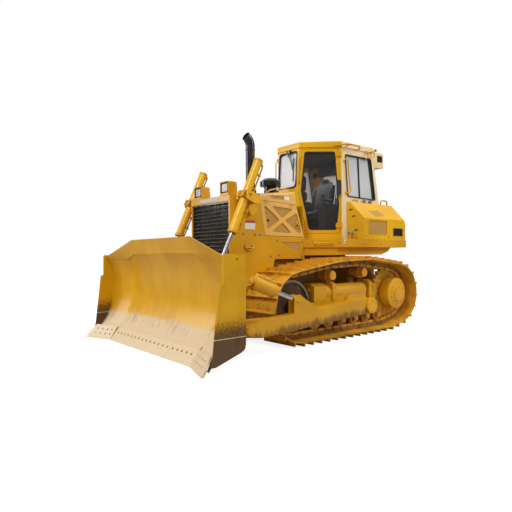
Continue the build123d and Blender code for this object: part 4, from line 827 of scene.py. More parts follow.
name_plate, grille_net, core = works(3)
guard_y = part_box("radiator_guard")[0][1]
panel(name_plate, guard_y - 0.004, oblong(0, 0, 0.25, 2.236, 2.288), 0.006, 0.01, axis=1)
name_plate.done("blank_name_plate", plate_film)
grille_low, grille_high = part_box("grille")
for i in range(34):
    x = grille_low[0] + 0.03 + (grille_high[0] - grille_low[0] - 0.06) * i / 33
    grille_net.tube([(x, grille_low[1] + 0.033, grille_low[2] + 0.02),
                     (x, grille_low[1] + 0.033, grille_high[2] - 0.02)], 0.0022, 6)
for i in range(22):
    z = grille_low[2] + 0.022 + (grille_high[2] - grille_low[2] - 0.044) * (i + 1) / 23
    near, far = (grille_low[1] + 0.0015, z - 0.0135), (grille_low[1] + 0.0035, z - 0.0105)
    left, right_end = grille_low[0] + 0.025, grille_high[0] - 0.025
    grille_net.slab([(left, *near), (right_end, *near), (right_end, *far), (left, *far)], (0, -0.001, 0.0005))
grille_net.done("grille_net", zinc, slot="black_paint")
for i in range(60):
    x = -0.5 + i / 59
    panel(core, grille_high[1] + 0.035, oblong(x, 0, 0.004, 1.31, 2.20), 0.02, axis=1)
core.done("radiator_fins", black_paint, slot="grey_iron")

# Square work lamps in sheet housings on the guard's top.
lenses, bezels, reflectors = works(3)
lamp_low, lamp_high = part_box("headlights")
for sign in (-1, 1):
    x = sign * (lamp_high[0] - 0.110)
    y, z = lamp_low[1] + 0.012, lamp_high[2] - 0.095
    square = at_level(y, oblong(x, z, 0.082, -0.062, 0.062), 1)
    frame_strip(bezels, square, (0, -1, 0), 0.014, 0.010, 0.015, -0.006)
    lenses.slab(rounded(square, 0.02), (0, 0.006, 0))
    for k in range(9):
        panel(reflectors, y - 0.0015, oblong(x - 0.066 + 0.0165 * k, z, 0.003, -0.05, 0.05), 0.002, axis=1)
    hoop = ((x - 0.10, z - 0.115), (x - 0.10, z + 0.078), (x + 0.10, z + 0.078), (x + 0.10, z - 0.115))
    bezels.tube(at_level(y - 0.002, hoop, 1), 0.006, 8, 0.02)
lenses.done("lamp_lenses", lamp_lens)
bezels.done("lamp_bezels", rubber)
reflectors.done("lamp_ribs", glass)

# The exhaust's clamp and rim, and the pre-cleaner's louvres under its cap.
stack_bands, louvres = works(2)
stack = Vector((-0.095, -0.360, 0))
for z, radius, height in ((2.52, 0.088, 0.03), (3.20, 0.086, 0.018)):
    stack_bands.lathe(stack + Vector((0, 0, z)), (0, 0, 1),
                      [(0, 0.081), (0, radius), (height, radius), (height, 0.081)], 32, caps=False)
stack_bands.bolt(stack + Vector((0.088, 0, 2.535)), (1, 0, 0), 0.010)
stack_bands.done("stack_clamps", black_paint, slot="black_paint")
cap = Vector((-0.050, 0.065, 0))
cleaner_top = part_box("precleaner")[1][2]
for k in range(26):
    a = 2 * pi * k / 26
    out, across = Vector((cos(a), sin(a), 0)), Vector((-sin(a), cos(a), 0))
    foot = cap + out * 0.172 + Vector((0, 0, cleaner_top - 0.135))
    louvres.slab([foot + across * along + Vector((0, 0, rise))
                  for along, rise in ((-0.010, 0), (0.004, 0), (0.014, 0.075), (0, 0.075))], out * 0.0155)
louvres.lathe(cap + Vector((0, 0, cleaner_top - 0.006)), (0, 0, 1),
              [(0, 0.05), (0.005, 0.045), (0.005, 0.001)], 24)
louvres.lathe(cap + Vector((0, 0, 2.50)), (0, 0, 1), [(0, 0.113), (0, 0.118), (0.024, 0.118), (0.024, 0.113)],
              32, caps=False)
louvres.done("precleaner_louvres", black_paint, slot="black_paint")

# ------------------------------------------------------------------ blade
# A rolled mouldboard with welded side plates and box beams behind. The cutting edges and corner
# bits are hardened plates held by rows of square-necked plough bolts, and wear away at the foot.
edge_bolts, edge_heads, seams = works(3)
edge_low, edge_high = Vector((0, -2.453, 0.003)), Vector((0, -2.267, 0.224))
edge_up = (edge_high - edge_low).normalized()
edge_out = Vector((0, -edge_up.z, edge_up.y))
for x in [-1.13 + 0.125 * k for k in range(14)] + [0.65 + 0.118 * k for k in range(5)]:
    seat = edge_low + edge_up * 0.168 + Vector((x, 0, 0)) - edge_out * 0.001
    edge_bolts.lathe(seat, edge_out, [(0, 0.023), (0.002, 0.023)], 16)
    edge_heads.lathe(seat - Vector((0, 0, 0.003)), edge_out, [(0, 0.014), (0.0045, 0.013), (0.0055, 0.009)],
                     14)
joint_x = 0.572
seams.slab([end + Vector((joint_x + dx, 0, 0))
            for end, dx in ((edge_low, -0.002), (edge_low, 0.002), (edge_high, 0.002), (edge_high, -0.002))],
           edge_out * 0.0012)
seams.slab([edge_high + Vector((x, 0, 0)) - edge_up * down for x, down in oblong(0, 0, 1.26, 0.030, 0.025)],
           edge_out * 0.0012)
edge_bolts.done("cutting_edge_bolt_seats", chain_steel, "blade", slot="worn_steel")
edge_heads.done("cutting_edge_bolts", brown_steel, "blade", slot="worn_steel")
seams.done("cutting_edge_joints", chain_steel, "blade", slot="worn_steel")

# ------------------------------------------------------------------ cab
# The cab is a welded steel frame of six sides with bonded panes in rubber seals. Its doors stand
# across the front corners and open outward on outside hinges; rails and a lock box are bolted on.
cab_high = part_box("cab_shell")[1]
cab_x = cab_high[0]
door_start, door_end = Vector((0.275, 0.474, 0)), Vector((cab_x, 1.008, 0))
door_dir = (door_end - door_start).normalized()
door_out = Vector((door_dir.y, -door_dir.x, 0))
eave, front_lean = cab_high[2], 0.077


def at_door(u, z, out=0.0):
    """A place on the left door: along from the cab's front corner, height, and out from its face."""
    return door_start + door_dir * u + door_out * out + Vector((0, 0, z))


def front_y(z):
    """The windscreen wall's Y at a height."""
    return door_start.y - (eave - z) * front_lean


door_opening = [(0.099, 3.214), (0.634, 3.200), (0.690, 2.251), (0.650, 1.832), (0.169, 1.838),
                (0.038, 2.519)]
side_opening = [(1.110, 3.173), (1.861, 3.174), (1.995, 2.407), (1.173, 2.426)]
door_seal, door_hinges, door_lock, pane_seals = works(4)
for grow in (0.016, -0.016):
    frame_strip(door_seal, [at_door(u, z, 0.001) for u, z in door_opening], door_out, grow, 0.007, 0.05,
                -0.02)
door_seal.pair("door_seals", rubber, "door_{}", slot="black_paint")
for low in (1.850, 3.120):
    for du, dz in ((-0.035, 0.02), (-0.035, 0.07), (-0.075, 0.045)):
        door_hinges.bolt(at_door(0.748 + du, low + dz, 0.021), door_out, 0.009)
door_hinges.pair("door_hinge_bolts", upper_paint, "door_{}")
for near, far, top, low, out, depth, radius in ((0.655, 0.735, 2.700, 2.440, 0.003, 0.055, 0.018),
                                                (0.668, 0.722, 2.690, 2.560, 0.058, 0.012, 0.012)):
    corners = ((near, top), (far, top), (far, low), (near, low))
    door_lock.slab(rounded([at_door(u, z, out) for u, z in corners], radius), door_out * depth)
handle_path = ((0.640, 2.44, 0.02), (0.628, 2.34, 0.03), (0.640, 2.24, 0.03), (0.672, 2.25, 0.03),
               (0.678, 2.34, 0.03), (0.672, 2.44, 0.02))
door_lock.tube([at_door(*p) for p in handle_path], 0.007, 8, 0.06)
door_lock.pair("door_locks", dark_plastic, "door_{}", slot="black_paint", radius=0.003)

pane_top, pane_foot = 3.165, 2.425
for grow in (0.014, -0.016):
    for sign in (1, -1):
        frame_strip(pane_seals, at_level(sign * (cab_x + 0.001), side_opening), (sign, 0, 0), grow, 0.006,
                    0.05, -0.03)
    windscreen = [(x, front_y(z) - 0.001, z) for x, z in oblong(0, 0, 0.230, 2.595, 3.250)]
    frame_strip(pane_seals, windscreen, (0, -1, 0), grow, 0.006, 0.07, -0.025)
    rear = [(x, 2.105 - (z - 2.4) * 0.2 + 0.001, z) for x, z in oblong(0, 0, 0.520, 2.440, 3.040)]
    frame_strip(pane_seals, rear, (0, 1, 0.2), grow, 0.006, 0.07, -0.03)
for sign in (-1, 1):
    for top_y, foot_y, width in ((1.484, 1.528, 0.020), (1.800, 1.931, 0.022)):
        bar = ((top_y, pane_top), (top_y + width, pane_top), (foot_y + width, pane_foot), (foot_y, pane_foot))
        panel(pane_seals, sign * (cab_x - 0.004), bar, -sign * 0.028)
pane_seals.done("pane_seals", rubber, slot="black_paint")

# Wiper, grab rails and the loops on the roof.
wiper, cab_rails, unit_grille, small_lamps = works(4)


def at_front(x, z, out):
    """A place before the windscreen wall."""
    return Vector((x, front_y(z) - out, z))


for arm, radius in ((((0.005, 3.262, 0.035), (0.12, 3.05, 0.03), (0.165, 2.90, 0.028)), 0.009),
                    (((0.045, 3.262, 0.035), (0.155, 3.05, 0.034), (0.180, 2.90, 0.03)), 0.006),
                    (((0.165, 3.13, 0.02), (0.178, 2.70, 0.02)), 0.011)):
    wiper.tube([at_front(*p) for p in arm], radius, 8)
wiper.slab([at_front(x, z, 0.004)
            for x, z in ((-0.03, 3.225), (0.075, 3.225), (0.075, 3.285), (-0.03, 3.285))], (0, -0.035, 0))
wiper.lathe(at_front(0.005, 3.262, 0.035), (0, -1, 0), [(0, 0.014), (0.012, 0.012)], 12)
wiper.done("wiper", black_paint, slot="black_paint", radius=0.002)
grab = [at_door(u, z, out)
        for u, out, z in ((0.008, 0.001, 3.13), (-0.004, 0.050, 3.11), (-0.010, 0.050, 2.88),
                          (-0.018, 0.050, 2.69), (0.006, 0.001, 2.67))]
post_rail = ((0.802, 1.060, 3.040), (0.850, 1.060, 3.075), (0.850, 1.125, 3.085), (0.850, 1.150, 2.800),
             (0.850, 1.204, 2.500), (0.850, 1.130, 2.480), (0.802, 1.110, 2.490))
roof_loop = ((0.680, 0.905, 3.318), (0.790, 0.940, 3.322), (0.945, 1.050, 3.330), (0.930, 1.385, 3.330),
             (0.810, 1.500, 3.316))
bracket_x, bracket_y, lamp_y = 0.860, 1.700, 1.900
bracket = ((0.796, bracket_y, 3.300), (bracket_x, bracket_y, 3.300), (bracket_x, bracket_y, 3.165),
           (0.796, bracket_y, 3.165))
braces = [((bracket_x, y, z), (bracket_x, lamp_y, end_z))
          for y, z, end_z in ((bracket_y, 3.285, 3.335), (bracket_y, 3.185, 3.225), (lamp_y, 3.215, 3.372))]
rails = [(post_rail, 0.013, 0.05), (grab, 0.010, 0.04), (roof_loop, 0.014, 0.07),
         (((0.790, 1.110, 3.318), (0.935, 1.110, 3.328)), 0.011, 0.03), (bracket, 0.011, 0.03)]
rails += [(brace, 0.011, 0.03) for brace in braces]
for sign in (-1, 1):
    for points, radius, bend in rails:
        cab_rails.tube([(sign * x, y, z) for x, y, z in points], radius, bend=bend)
    small_lamps.lathe((sign * bracket_x, lamp_y + 0.015, 3.345), (0, 1, 0),
                      [(0, 0.018), (0.03, 0.022), (0.04, 0.018)], 16)
cab_rails.done("cab_rails", upper_paint)
small_lamps.done("small_lamps", black_paint, slot="black_paint")
unit_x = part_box("air_unit")[1][0] + 0.001
for sign in (-1, 1):
    opening = ((2.289, 3.332), (2.452, 3.337), (2.460, 3.211), (2.298, 3.204))
    panel(unit_grille, sign * unit_x, opening, sign * 0.003, 0.012)
    for k in range(5):
        z = 3.225 + 0.022 * k
        fin = ((2.305, z), (2.448, z + 0.004), (2.448, z + 0.014), (2.305, z + 0.010))
        unit_grille.slab(at_level(sign * unit_x, fin), (sign * 0.011, 0, -0.008))
unit_grille.done("air_unit_grilles", black_paint, slot="black_paint")

# Inside: a dark headliner and floor mat, posts faced with sheets in painted shade and round speakers on them,
# a sprung seat with armrests, an instrument pod before it and a control box on each side.
grey_plastic = material("grey_plastic", grained(srgb(120, 122, 122), srgb(146, 147, 146)))
# The post sheets' dull orange is painted shade: the yellow posts as they look in the cab's shade.
post_shade_orange = material("post_shade_orange", grained(srgb(176, 118, 52), srgb(150, 96, 40)))
liner, post_shade_sheets, speakers, controls, pod, screens = works(6)
ceiling = [(-0.23, 0.53), (0.23, 0.53), (0.735, 1.045), (0.735, 1.87), (-0.735, 1.87), (-0.735, 1.045)]
mat = [(-0.20, 0.45), (0.20, 0.45), (0.735, 1.055), (0.735, 2.03), (-0.735, 2.03), (-0.735, 1.055)]
liner.slab([(x, y, 3.225) for x, y in ceiling], (0, 0, 0.03))
liner.slab([(x * 0.99, y, 1.682) for x, y in mat], (0, 0, 0.012))
panel(liner, 2.045, oblong(0, 0, 0.7, 1.70, 2.40), -0.02, axis=1)
panel(liner, 1.895, oblong(0, 0, 0.53, 3.03, 3.22), -0.05, axis=1)
liner.done("cab_lining", dark_plastic, slot="grey_plastic")
trim_top, trim_foot = 3.22, 2.42
for sign in (-1, 1):
    rear_post = ((0.54, 1.900, trim_top), (0.735, 1.855, trim_top), (0.735, 1.995, trim_foot),
                 (0.54, 2.035, trim_foot))
    post_shade_sheets.slab([(sign * x, y, z) for x, y, z in rear_post], (0, -0.045, 0))
    front_post = ((1.025, trim_top), (1.105, trim_top), (1.165, trim_foot), (1.075, trim_foot))
    panel(post_shade_sheets, sign * 0.744, front_post, -sign * 0.03)
    speakers.lathe((sign * 0.62, 1.842, 3.06), (0, -1, 0.2),
                   [(0, 0.062), (0.012, 0.058), (0.014, 0.03), (0.010, 0.001)], 24)
    controls.crowned((sign * 0.33 - 0.075, 0.95, 2.290), (sign * 0.33 + 0.075, 1.40, 2.345),
                     (0.012, 0.01, 0.02), 5)
    box = ((0.94, 1.70), (1.50, 1.70), (1.50, 2.44), (1.33, 2.46), (1.27, 2.30), (0.94, 2.29))
    panel(controls, sign * 0.39, box, sign * 0.10, 0.04)
    controls.tube(at_level(sign * 0.40, ((0.99, 2.26), (0.97, 2.36), (0.955, 2.40))), 0.012)
    controls.lathe((sign * 0.40, 0.955, 2.39), (0, -0.1, 1),
                   [(0, 0.020), (0.05, 0.030), (0.09, 0.026), (0.105, 0.010)], 14)
controls.tube([(0.16, 0.70, 1.69), (0.16, 0.69, 1.80)], 0.012)
for x in (0.16, -0.16):
    pedal = [(x - 0.06, 0.69, 1.79), (x + 0.06, 0.69, 1.79), (x + 0.06, 0.62, 1.88), (x - 0.06, 0.62, 1.88)]
    controls.slab(rounded(pedal, 0.02), (0, 0.012, 0.01))
controls.done("cab_controls", dark_plastic, slot="grey_plastic", radius=0.003)
post_shade_sheets.done("cab_post_shade_sheets", post_shade_orange, slot="yellow_paint", radius=0.006)
speakers.done("cab_speakers", rubber, slot="black_paint")
panel(pod, -0.25, ((0.520, 2.46), (0.600, 2.56), (0.700, 2.50), (0.690, 2.36), (0.530, 2.36)), 0.50, 0.03)
panel(pod, 0.155, ((0.620, 2.55), (0.690, 2.55), (0.700, 2.80), (0.630, 2.82)), 0.075, 0.03)
pod.tube([(0.19, 0.655, 2.50), (0.19, 0.655, 2.60)], 0.02)
pod.tube([(0.30, 0.80, 2.95), (0.26, 0.70, 2.90), (0.20, 0.64, 2.88)], 0.008)
pod.done("instrument_pod", black_paint, slot="black_paint", radius=0.006)
for k in range(3):
    screens.lathe((-0.14 + 0.13 * k, 0.665, 2.525), (0, 0.85, 0.52),
                  [(0, 0.040), (0.006, 0.040), (0.006, 0.034), (0.004, 0.033)], 20)
screens.done("instrument_dials", grey_plastic, slot="grey_plastic")

# The seat: a cushion and a back of stitched fabric over foam, on a rubber bellows.
fabric = material("fabric", grained(srgb(30, 31, 34), srgb(50, 51, 54), (7, 3), (420, 2, 0.5, (1, 1, 0.4)),
                                    (0.1, 0.82), (0.35, 0.001)), Sheen_Weight=0.3)
seat_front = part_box("seat")[0][1]
cushion, bellows, seat_shell = works(3)
cushion.crowned((-0.25, seat_front - 0.01, 2.075), (0.25, seat_front + 0.50, 2.205), (0.015, 0.015, 0.035),
                14)
for low, high in ((-0.255, -0.175), (0.175, 0.255)):
    cushion.crowned((low, seat_front + 0.02, 2.090), (high, seat_front + 0.47, 2.235), (0.01, 0.02, 0.03), 8)
seat_foot, seat_tilt = Vector((0, seat_front + 0.50, 2.19)), Matrix.Rotation(-0.21, 4, "X")


def lean_back(corners):
    """Turns the given vertices round a level line at the seat's rear, as its back leans."""
    for v in corners:
        v.co = seat_tilt @ (v.co - seat_foot) + seat_foot


lean_back(cushion.crowned((-0.225, seat_front + 0.43, 2.19), (0.225, seat_front + 0.54, 2.83),
                          (0.02, 0.035, 0.03), 14))
for sign in (-1, 1):
    low, high = sorted((sign * 0.165, sign * 0.25))
    lean_back(cushion.crowned((low, seat_front + 0.405, 2.23), (high, seat_front + 0.53, 2.74),
                              (0.01, 0.03, 0.03), 8))
lean_back(cushion.crowned((-0.13, seat_front + 0.43, 2.80), (0.13, seat_front + 0.53, 2.88),
                          (0.02, 0.03, 0.03), 8))
for sign in (-1, 1):
    low, high = sorted((sign * 0.255, sign * 0.315))
    cushion.crowned((low, seat_front + 0.12, 2.38), (high, seat_front + 0.50, 2.44), (0.008, 0.012, 0.015), 8)
seat_pads = cushion.done("seat_pads", fabric, slot="grey_fabric", smooth=60, stands_for=("seat",))
lean_back(seat_shell.crowned((-0.235, seat_front + 0.515, 2.16), (0.235, seat_front + 0.565, 2.78),
                             (0.01, 0.01, 0.02), 6))
seat_shell.crowned((-0.245, seat_front + 0.01, 2.035), (0.245, seat_front + 0.52, 2.095), (0.01, 0.01, 0.005),
                   6)
for x in (0.285, -0.285):
    seat_shell.tube([(x, seat_front + 0.50, 2.25), (x, seat_front + 0.48, 2.39)], 0.014)
seat_shell.done("seat_shell", dark_plastic, slot="grey_plastic", smooth=60)
for k in range(6):
    z = 1.86 + 0.030 * k
    ring = [(-0.235, seat_front + 0.055), (0.235, seat_front + 0.055), (0.235, seat_front + 0.50),
            (-0.235, seat_front + 0.50)]
    bellows.skin([[Vector((x * (1 + g * 4), y + (g if y > seat_front + 0.3 else -g), z + dz))
                   for x, y in ring] for g, dz in ((0.0, 0), (0.016, 0.009), (0.016, 0.019), (0.0, 0.028))])
bellows.done("seat_bellows", rubber, slot="black_paint", smooth=25)

# ------------------------------------------------------------------ platform, side boxes and fuel tank
# Sheet-steel boxes are bolted on the deck round the cab: tools and batteries at the sides, diesel
# behind. Their doors are pressed, with perforated panels, and pins and loops stand on their tops.
box_x, deck_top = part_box("platform")[1][0], 1.640
box_mesh, box_seams, box_bolts, box_latches, caps, necks, loops, dark_plate = works(8)
panel(box_mesh, box_x - 0.008, ((1.455, 1.752), (1.455, 1.978), (1.987, 1.988), (1.987, 1.752)), 0.0015, 0.04)
bead_line = ((1.450, 1.745), (1.450, 1.985), (1.992, 1.995), (1.992, 1.745))
frame_strip(box_seams, at_level(box_x, bead_line), (1, 0, 0), 0.010, 0.004, 0.04, -0.006)
slope_low, slope_high = Vector((box_x, 0, 2.027)), Vector((0.850, 0, 2.325))
slope_out = Vector((slope_high.z - slope_low.z, 0, slope_low.x - slope_high.x)).normalized()


def on_slope(y, share, out):
    return slope_low + (slope_high - slope_low) * share + Vector((0, y, 0)) + slope_out * out


slope_panel = ((1.575, 0.46), (1.870, 0.555), (2.005, 0.235), (1.705, 0.155))
box_mesh.slab(rounded([on_slope(y, share, -0.008) for y, share in slope_panel], 0.02), slope_out * 0.0015)
for y, z in ((1.355, 1.70), (1.355, 1.96), (2.055, 1.70)):
    box_bolts.bolt((box_x, y, z), (1, 0, 0), 0.009)
box_front = Vector((0.803, 1.145, 0))
front_run = Vector((box_x - box_front.x, 0.175, 0)).normalized()
front_out = Vector((front_run.y, -front_run.x, 0))
for along, z in ((0.07, 2.17), (0.12, 2.05), (0.16, 1.80)):
    strap = [box_front + front_run * (along + step) + Vector((0, 0, z + rise))
             for step, rise in ((-0.030, 0), (0.030, 0.008), (0.030, 0.026), (-0.030, 0.018))]
    box_latches.slab(rounded(strap, 0.008), front_out * 0.014)
neck_x = 0.955
for y in (1.030, 1.125):
    necks.lathe((neck_x, y, deck_top), (0, 0, 1), [(0, 0.034), (0.02, 0.034), (0.021, 0.029), (0.094, 0.029)],
                20)
    caps.lathe((neck_x, y, deck_top + 0.092), (0, 0, 1), [(0, 0.036), (0.034, 0.036), (0.040, 0.030)], 20)
for y0 in (1.62, 1.80):
    caps.lathe((0.83, y0, 2.320), (0, 0, 1),
               [(0, 0.026), (0.03, 0.026), (0.031, 0.034), (0.06, 0.034), (0.068, 0.022)], 18)
for y0, y1, z in ((2.160, 2.375, 2.312), (1.30, 1.45, 2.322)):
    top = z + (0.105 if y0 > 2 else 0.055)
    hoop = ((y0, z - 0.004), (y0 + 0.012, top - 0.02), (y0 + 0.04, top), (y1 - 0.03, top), (y1, top - 0.02),
            (y1 + 0.002, z - 0.004))
    loops.tube(at_level(0.800, hoop), 0.014, bend=0.05)
loops.lathe((0.45, 2.30, 2.325), (0, 0, 1),
            [(0, 0.075), (0.012, 0.075), (0.014, 0.060), (0.045, 0.060), (0.055, 0.050)], 28)
panel(dark_plate, box_x, ((2.200, 1.866), (2.505, 1.860), (2.505, 1.722), (2.200, 1.722)), 0.004, 0.006)
plate_line = ((2.195, 1.871), (2.510, 1.865), (2.510, 1.717), (2.195, 1.717))
frame_strip(box_seams, at_level(box_x, plate_line), (1, 0, 0), 0.008, 0.005, 0.006)
box_mesh.both("box_mesh", mesh_sheet)
box_seams.both("box_beads", upper_paint)
box_bolts.both("box_bolts", zinc, slot="yellow_paint")
box_latches.both("box_latches", black_paint, slot="black_paint", radius=0.002)
caps.both("filler_caps", zinc, slot="chrome_rod")
necks.both("filler_necks", upper_paint)
loops.both("lifting_loops", upper_paint)
dark_plate.both("blank_tank_plates", black_paint, slot="black_paint")

# The deck's edge: a grab bar on its slanting front, white marks, bolts and a tread sheet on top.
deck_bars, deck_marks, deck_bolts, treads = works(4)
chamfer = Vector((0.5605, 0.25, 0))
chamfer_run = Vector((box_x - chamfer.x, 0.47, 0)).normalized()
chamfer_out = Vector((chamfer_run.y, -chamfer_run.x, 0))


def at_chamfer(s, z, out):
    return chamfer + chamfer_run * s + chamfer_out * out + Vector((0, 0, z))


bar_end = ((1.60, -0.002), (1.60, 0.045), (1.545, 0.045), (1.545, 0.0))
for s in (0.20, 0.50):
    deck_bars.tube([at_chamfer(s, z, out) for z, out in bar_end], 0.008, bend=0.02)
deck_bars.tube([at_chamfer(s, 1.572, 0.045) for s in (0.20, 0.50)], 0.010)
for z in (1.606, 1.566):
    panel(deck_marks, box_x, oblong(0.7675, z, 0.0325, 0, 0.014), 0.0012)
for y in (0.80, 1.30, 1.80, 2.30, 2.58):
    deck_bolts.bolt((box_x, y, 1.555), (1, 0, 0), 0.010)
for s in (0.08, 0.62):
    deck_bolts.bolt(at_chamfer(s, 1.57, 0), chamfer_out, 0.010)
diamond = ((-0.016, 0), (0, -0.005), (0.016, 0), (0, 0.005))
for i in range(9):
    for j in range(6):
        spot = Vector((0.60 + 0.05 * j, 0.42 + 0.05 * i + 0.045 * j, deck_top))
        past_edge = spot.y - 0.03 > chamfer.y + (spot.x - chamfer.x) * 0.94
        if past_edge and spot.y < door_start.y + (spot.x - door_start.x) * 1.017 - 0.06:
            treads.slab([spot + Vector((dx, dy, 0)) for dx, dy in diamond], (0, 0, 0.003))
deck_bars.both("deck_grab_bars", upper_paint)
deck_marks.both("deck_marks", white_film)
deck_bolts.both("deck_bolts", zinc, slot="yellow_paint")
treads.both("deck_treads", upper_paint)

# The bulkhead behind the engine, and the bolts and lamps at the machine's rear.
red_lens = label("red_lens", srgb(150, 22, 18), 0.15)
bulkhead, rear_bolts, tail_lamps, hitch_pin = works(4)
panel(bulkhead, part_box("engine")[1][1] + 0.001, oblong(0, 0, 0.525, 1.64, 2.225), 0.006, axis=1)
bulkhead.done("bulkhead", upper_paint)
for i in range(6):
    x = -0.28 + 0.112 * i
    for z in (0.835, 1.085):
        rear_bolts.bolt((x, 2.450, z), (0, 1, 0), 0.012)
for sign in (-1, 1):
    for z in (0.90, 1.02):
        rear_bolts.bolt((sign * 0.295, 2.450, z), (0, 1, 0), 0.012)
    panel(tail_lamps, 2.6105, oblong(sign * 0.93, 0, 0.06, 1.70, 1.79), 0.012, 0.012, axis=1)
rear_bolts.done("rear_case_bolts", lower_paint)
tail_lamps.done("tail_lamps", red_lens, slot="clear_glass")
hitch_pin.lathe((0, 2.530, 0.455), (0, 0, 1),
                [(0, 0.0265), (0.078, 0.0265), (0.079, 0.042), (0.092, 0.042), (0.098, 0.034)], 24)
hitch_pin.done("drawbar_pin", zinc, slot="worn_steel")

# ------------------------------------------------------------------ lift and tilt cylinders
# Steel barrels with welded end caps and a clamped trunnion collar. Oil comes by a steel pipe that
# clamps hold along the barrel. The rods are hard-chromed and run through a rubber wiper ring.
top_pin, low_pin = Vector((0.760, -1.157, 2.264)), Vector((0.760, -1.858, 0.750))
lift_run = (low_pin - top_pin).normalized()
lift_back = Vector((0, -lift_run.z, lift_run.y))
barrel_parts, barrel_bolts, wiper_ring = works(3)


def on_lift(s, back=0.0, side=0.0):
    return top_pin + lift_run * s + lift_back * back + Vector((side, 0, 0))


for start, end, radius in ((-0.626, -0.596, 0.073), (-0.055, -0.030, 0.092), (0.030, 0.055, 0.092),
                           (0.568, 0.610, 0.073)):
    band, inside = end - start, radius - 0.012
    barrel_parts.lathe(on_lift(start), lift_run,
                       [(0, inside), (0, radius - 0.003), (0.003, radius), (band - 0.003, radius),
                        (band, radius - 0.003), (band, inside), (0, inside)], 30, caps=False)
barrel_parts.lathe(on_lift(-0.040), lift_run,
                   [(0, 0.060), (0, 0.086), (0.08, 0.086), (0.08, 0.060), (0, 0.060)], 30, caps=False)
for sign in (-1, 1):
    cheek = ((-0.060, -0.05), (-0.060, 0.05), (0.060, 0.05), (0.060, -0.05))
    barrel_parts.slab(rounded([on_lift(s, b, sign * 0.088) for s, b in cheek], 0.02), (sign * 0.012, 0, 0))
    for s in (-0.040, 0.040):
        for b in (-0.055, 0.055):
            barrel_bolts.bolt(on_lift(s, b, sign * 0.076), (sign, 0, 0), 0.010)
    for back in (-0.078, 0.078):
        lug = ((-0.05, -0.02), (-0.05, 0.02), (0.05, 0.02), (0.05, -0.02))
        barrel_parts.slab([on_lift(s, back, sign * 0.055 + dx) for s, dx in lug],
                          lift_back * (0.02 if back > 0 else -0.02))
barrel_bolts.bolts_round(on_lift(0.610), lift_run, 6, 0.056, 0.008, 0, lift_back, (1, 0, 0))
barrel_bolts.bolts_round(on_lift(-0.626), -lift_run, 6, 0.050, 0.008, 0, lift_back, (1, 0, 0))
oil_pipe = ((-0.585, 0.055), (-0.585, 0.105), (-0.54, 0.105, 0.012), (0.10, 0.105, 0.012),
            (0.52, 0.100, 0.012), (0.555, 0.095), (0.565, 0.055))
barrel_parts.tube([on_lift(*p) for p in oil_pipe], 0.013, bend=0.03)
for s, back, radius, height in ((-0.585, 0.055, 0.028, 0.045), (0.562, 0.050, 0.026, 0.042)):
    barrel_parts.lathe(on_lift(s, back), lift_back,
                       [(0, radius), (0.030, radius), (0.031, radius - 0.008), (height, radius - 0.008)], 16)
clamp = ((0.060, -0.024), (0.060, 0.030), (0.122, 0.030), (0.122, -0.010))
for s in (-0.42, -0.18, 0.20, 0.40):
    barrel_parts.slab([on_lift(s, back, side) for back, side in clamp], lift_run * 0.022)
barrel_parts.pair("lift_barrel_fittings", upper_paint, "lift_cylinder_{}", radius=0.0015)
barrel_bolts.pair("lift_barrel_bolts", zinc, "lift_cylinder_{}", slot="yellow_paint")
wiper_ring.lathe(on_lift(0.612), lift_run, [(0, 0.046), (0.010, 0.044), (0.012, 0.0335), (0.0, 0.0335)], 28,
                 caps=False)
wiper_ring.pair("lift_rod_wipers", rubber, "lift_cylinder_{}", slot="black_paint")

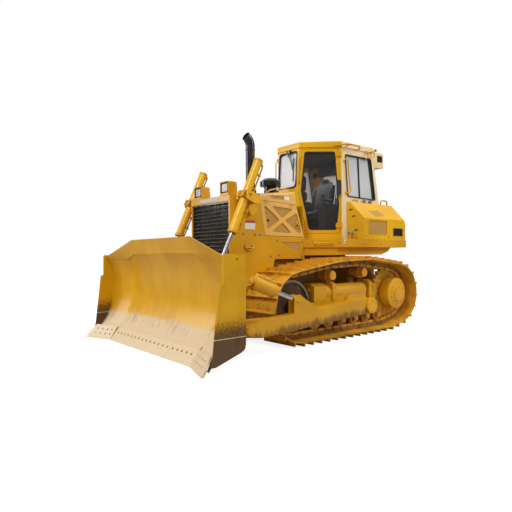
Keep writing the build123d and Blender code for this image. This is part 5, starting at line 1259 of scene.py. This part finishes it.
tilt_end, tilt_start = Vector((1.480, -0.836, 0.735)), Vector((1.480, -1.695, 1.050))
tilt_run = (tilt_end - tilt_start).normalized()
tilt_up = Vector((0, -tilt_run.z, tilt_run.y))
tilt_length = (tilt_end - tilt_start).length
tilt_rod, tilt_parts, tilt_bolts = works(3)
barrel_end = 0.4925
tilt_rod.lathe(tilt_start + tilt_run * barrel_end, tilt_run,
               [(0, 0.0350), (tilt_length - barrel_end - 0.055, 0.0350)], 32, caps=False)
tilt_rod.done("tilt_rod_chrome", chrome, "blade", slot="chrome_rod")
for s in (0.098, 0.430):
    tilt_parts.lathe(tilt_start + tilt_run * s, tilt_run,
                     [(0, 0.094), (0.003, 0.101), (0.030, 0.101), (0.033, 0.094)], 32)
for s in (0.20, 0.34):
    tilt_parts.slab([tilt_start + tilt_run * s + tilt_up * u + Vector((x, 0, 0))
                     for x, u in oblong(0, 0, 0.030, 0.085, 0.145)], tilt_run * 0.024)
    tilt_bolts.bolt(tilt_start + tilt_run * (s + 0.012) + tilt_up * 0.145, tilt_up, 0.009)
tilt_bolts.bolts_round(tilt_start + tilt_run * 0.491, tilt_run, 8, 0.066, 0.009, 0, tilt_up, (1, 0, 0))
for place in (tilt_start, tilt_end):
    for sign in (-1, 1):
        tilt_bolts.lathe(place + Vector((sign * 0.064, 0, 0)), (sign, 0, 0),
                         [(0, 0.034), (0.010, 0.034), (0.013, 0.028), (0.013, 0.001)], 20)
tilt_parts.done("tilt_cylinder_bands", lower_paint, "blade", radius=0.0015)
tilt_bolts.done("tilt_cylinder_bolts", lower_paint, "blade")

# ------------------------------------------------------------------ push arms and welds
# The arms are box beams of steel plate, closed by fillet welds. Their trunnion caps and their pins
# at the blade are bolted on, and the plates of the mouldboard are joined by painted weld beads.
arm_parts, welds = works(2)
arm_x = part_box("push_arms")[1][0]
arm_parts.bolts_round(trunnion, (1, 0, 0), 6, 0.098, 0.013, 0.5)
for y, z in ((-1.700, 0.420), (-1.620, 0.360)):
    arm_parts.bolt((arm_x, y, z), (1, 0, 0), 0.020)
arm_parts.lathe((arm_x - 0.002, -1.735, 0.400), (1, 0, 0),
                [(0, 0.060), (0.018, 0.060), (0.022, 0.052), (0.022, 0.02)], 24)
arm_parts.both("push_arm_bolts", lower_paint, "blade")

for sign in (-1, 1):
    low, knee = Vector((sign * 0.908, -2.165, 1.419)), Vector((sign * 1.314, -2.143, 1.297))
    for start, end in ((low, knee), (low, (sign * 0.884, -2.219, 1.641)),
                       (knee + Vector((0, -0.002, 0)), (sign * 1.774, -2.262, 1.297))):
        welds.tube([start, end], 0.004, 6, 0.01)
welds.tube([(-0.908, -2.165, 1.419), (0.908, -2.165, 1.419)], 0.004, 6, 0.01)
welds.tube([(-1.25, -2.262, 0.226), (1.25, -2.262, 0.226)], 0.006, 6, 0.01)
welds.done("blade_welds", blade_paint, "blade")
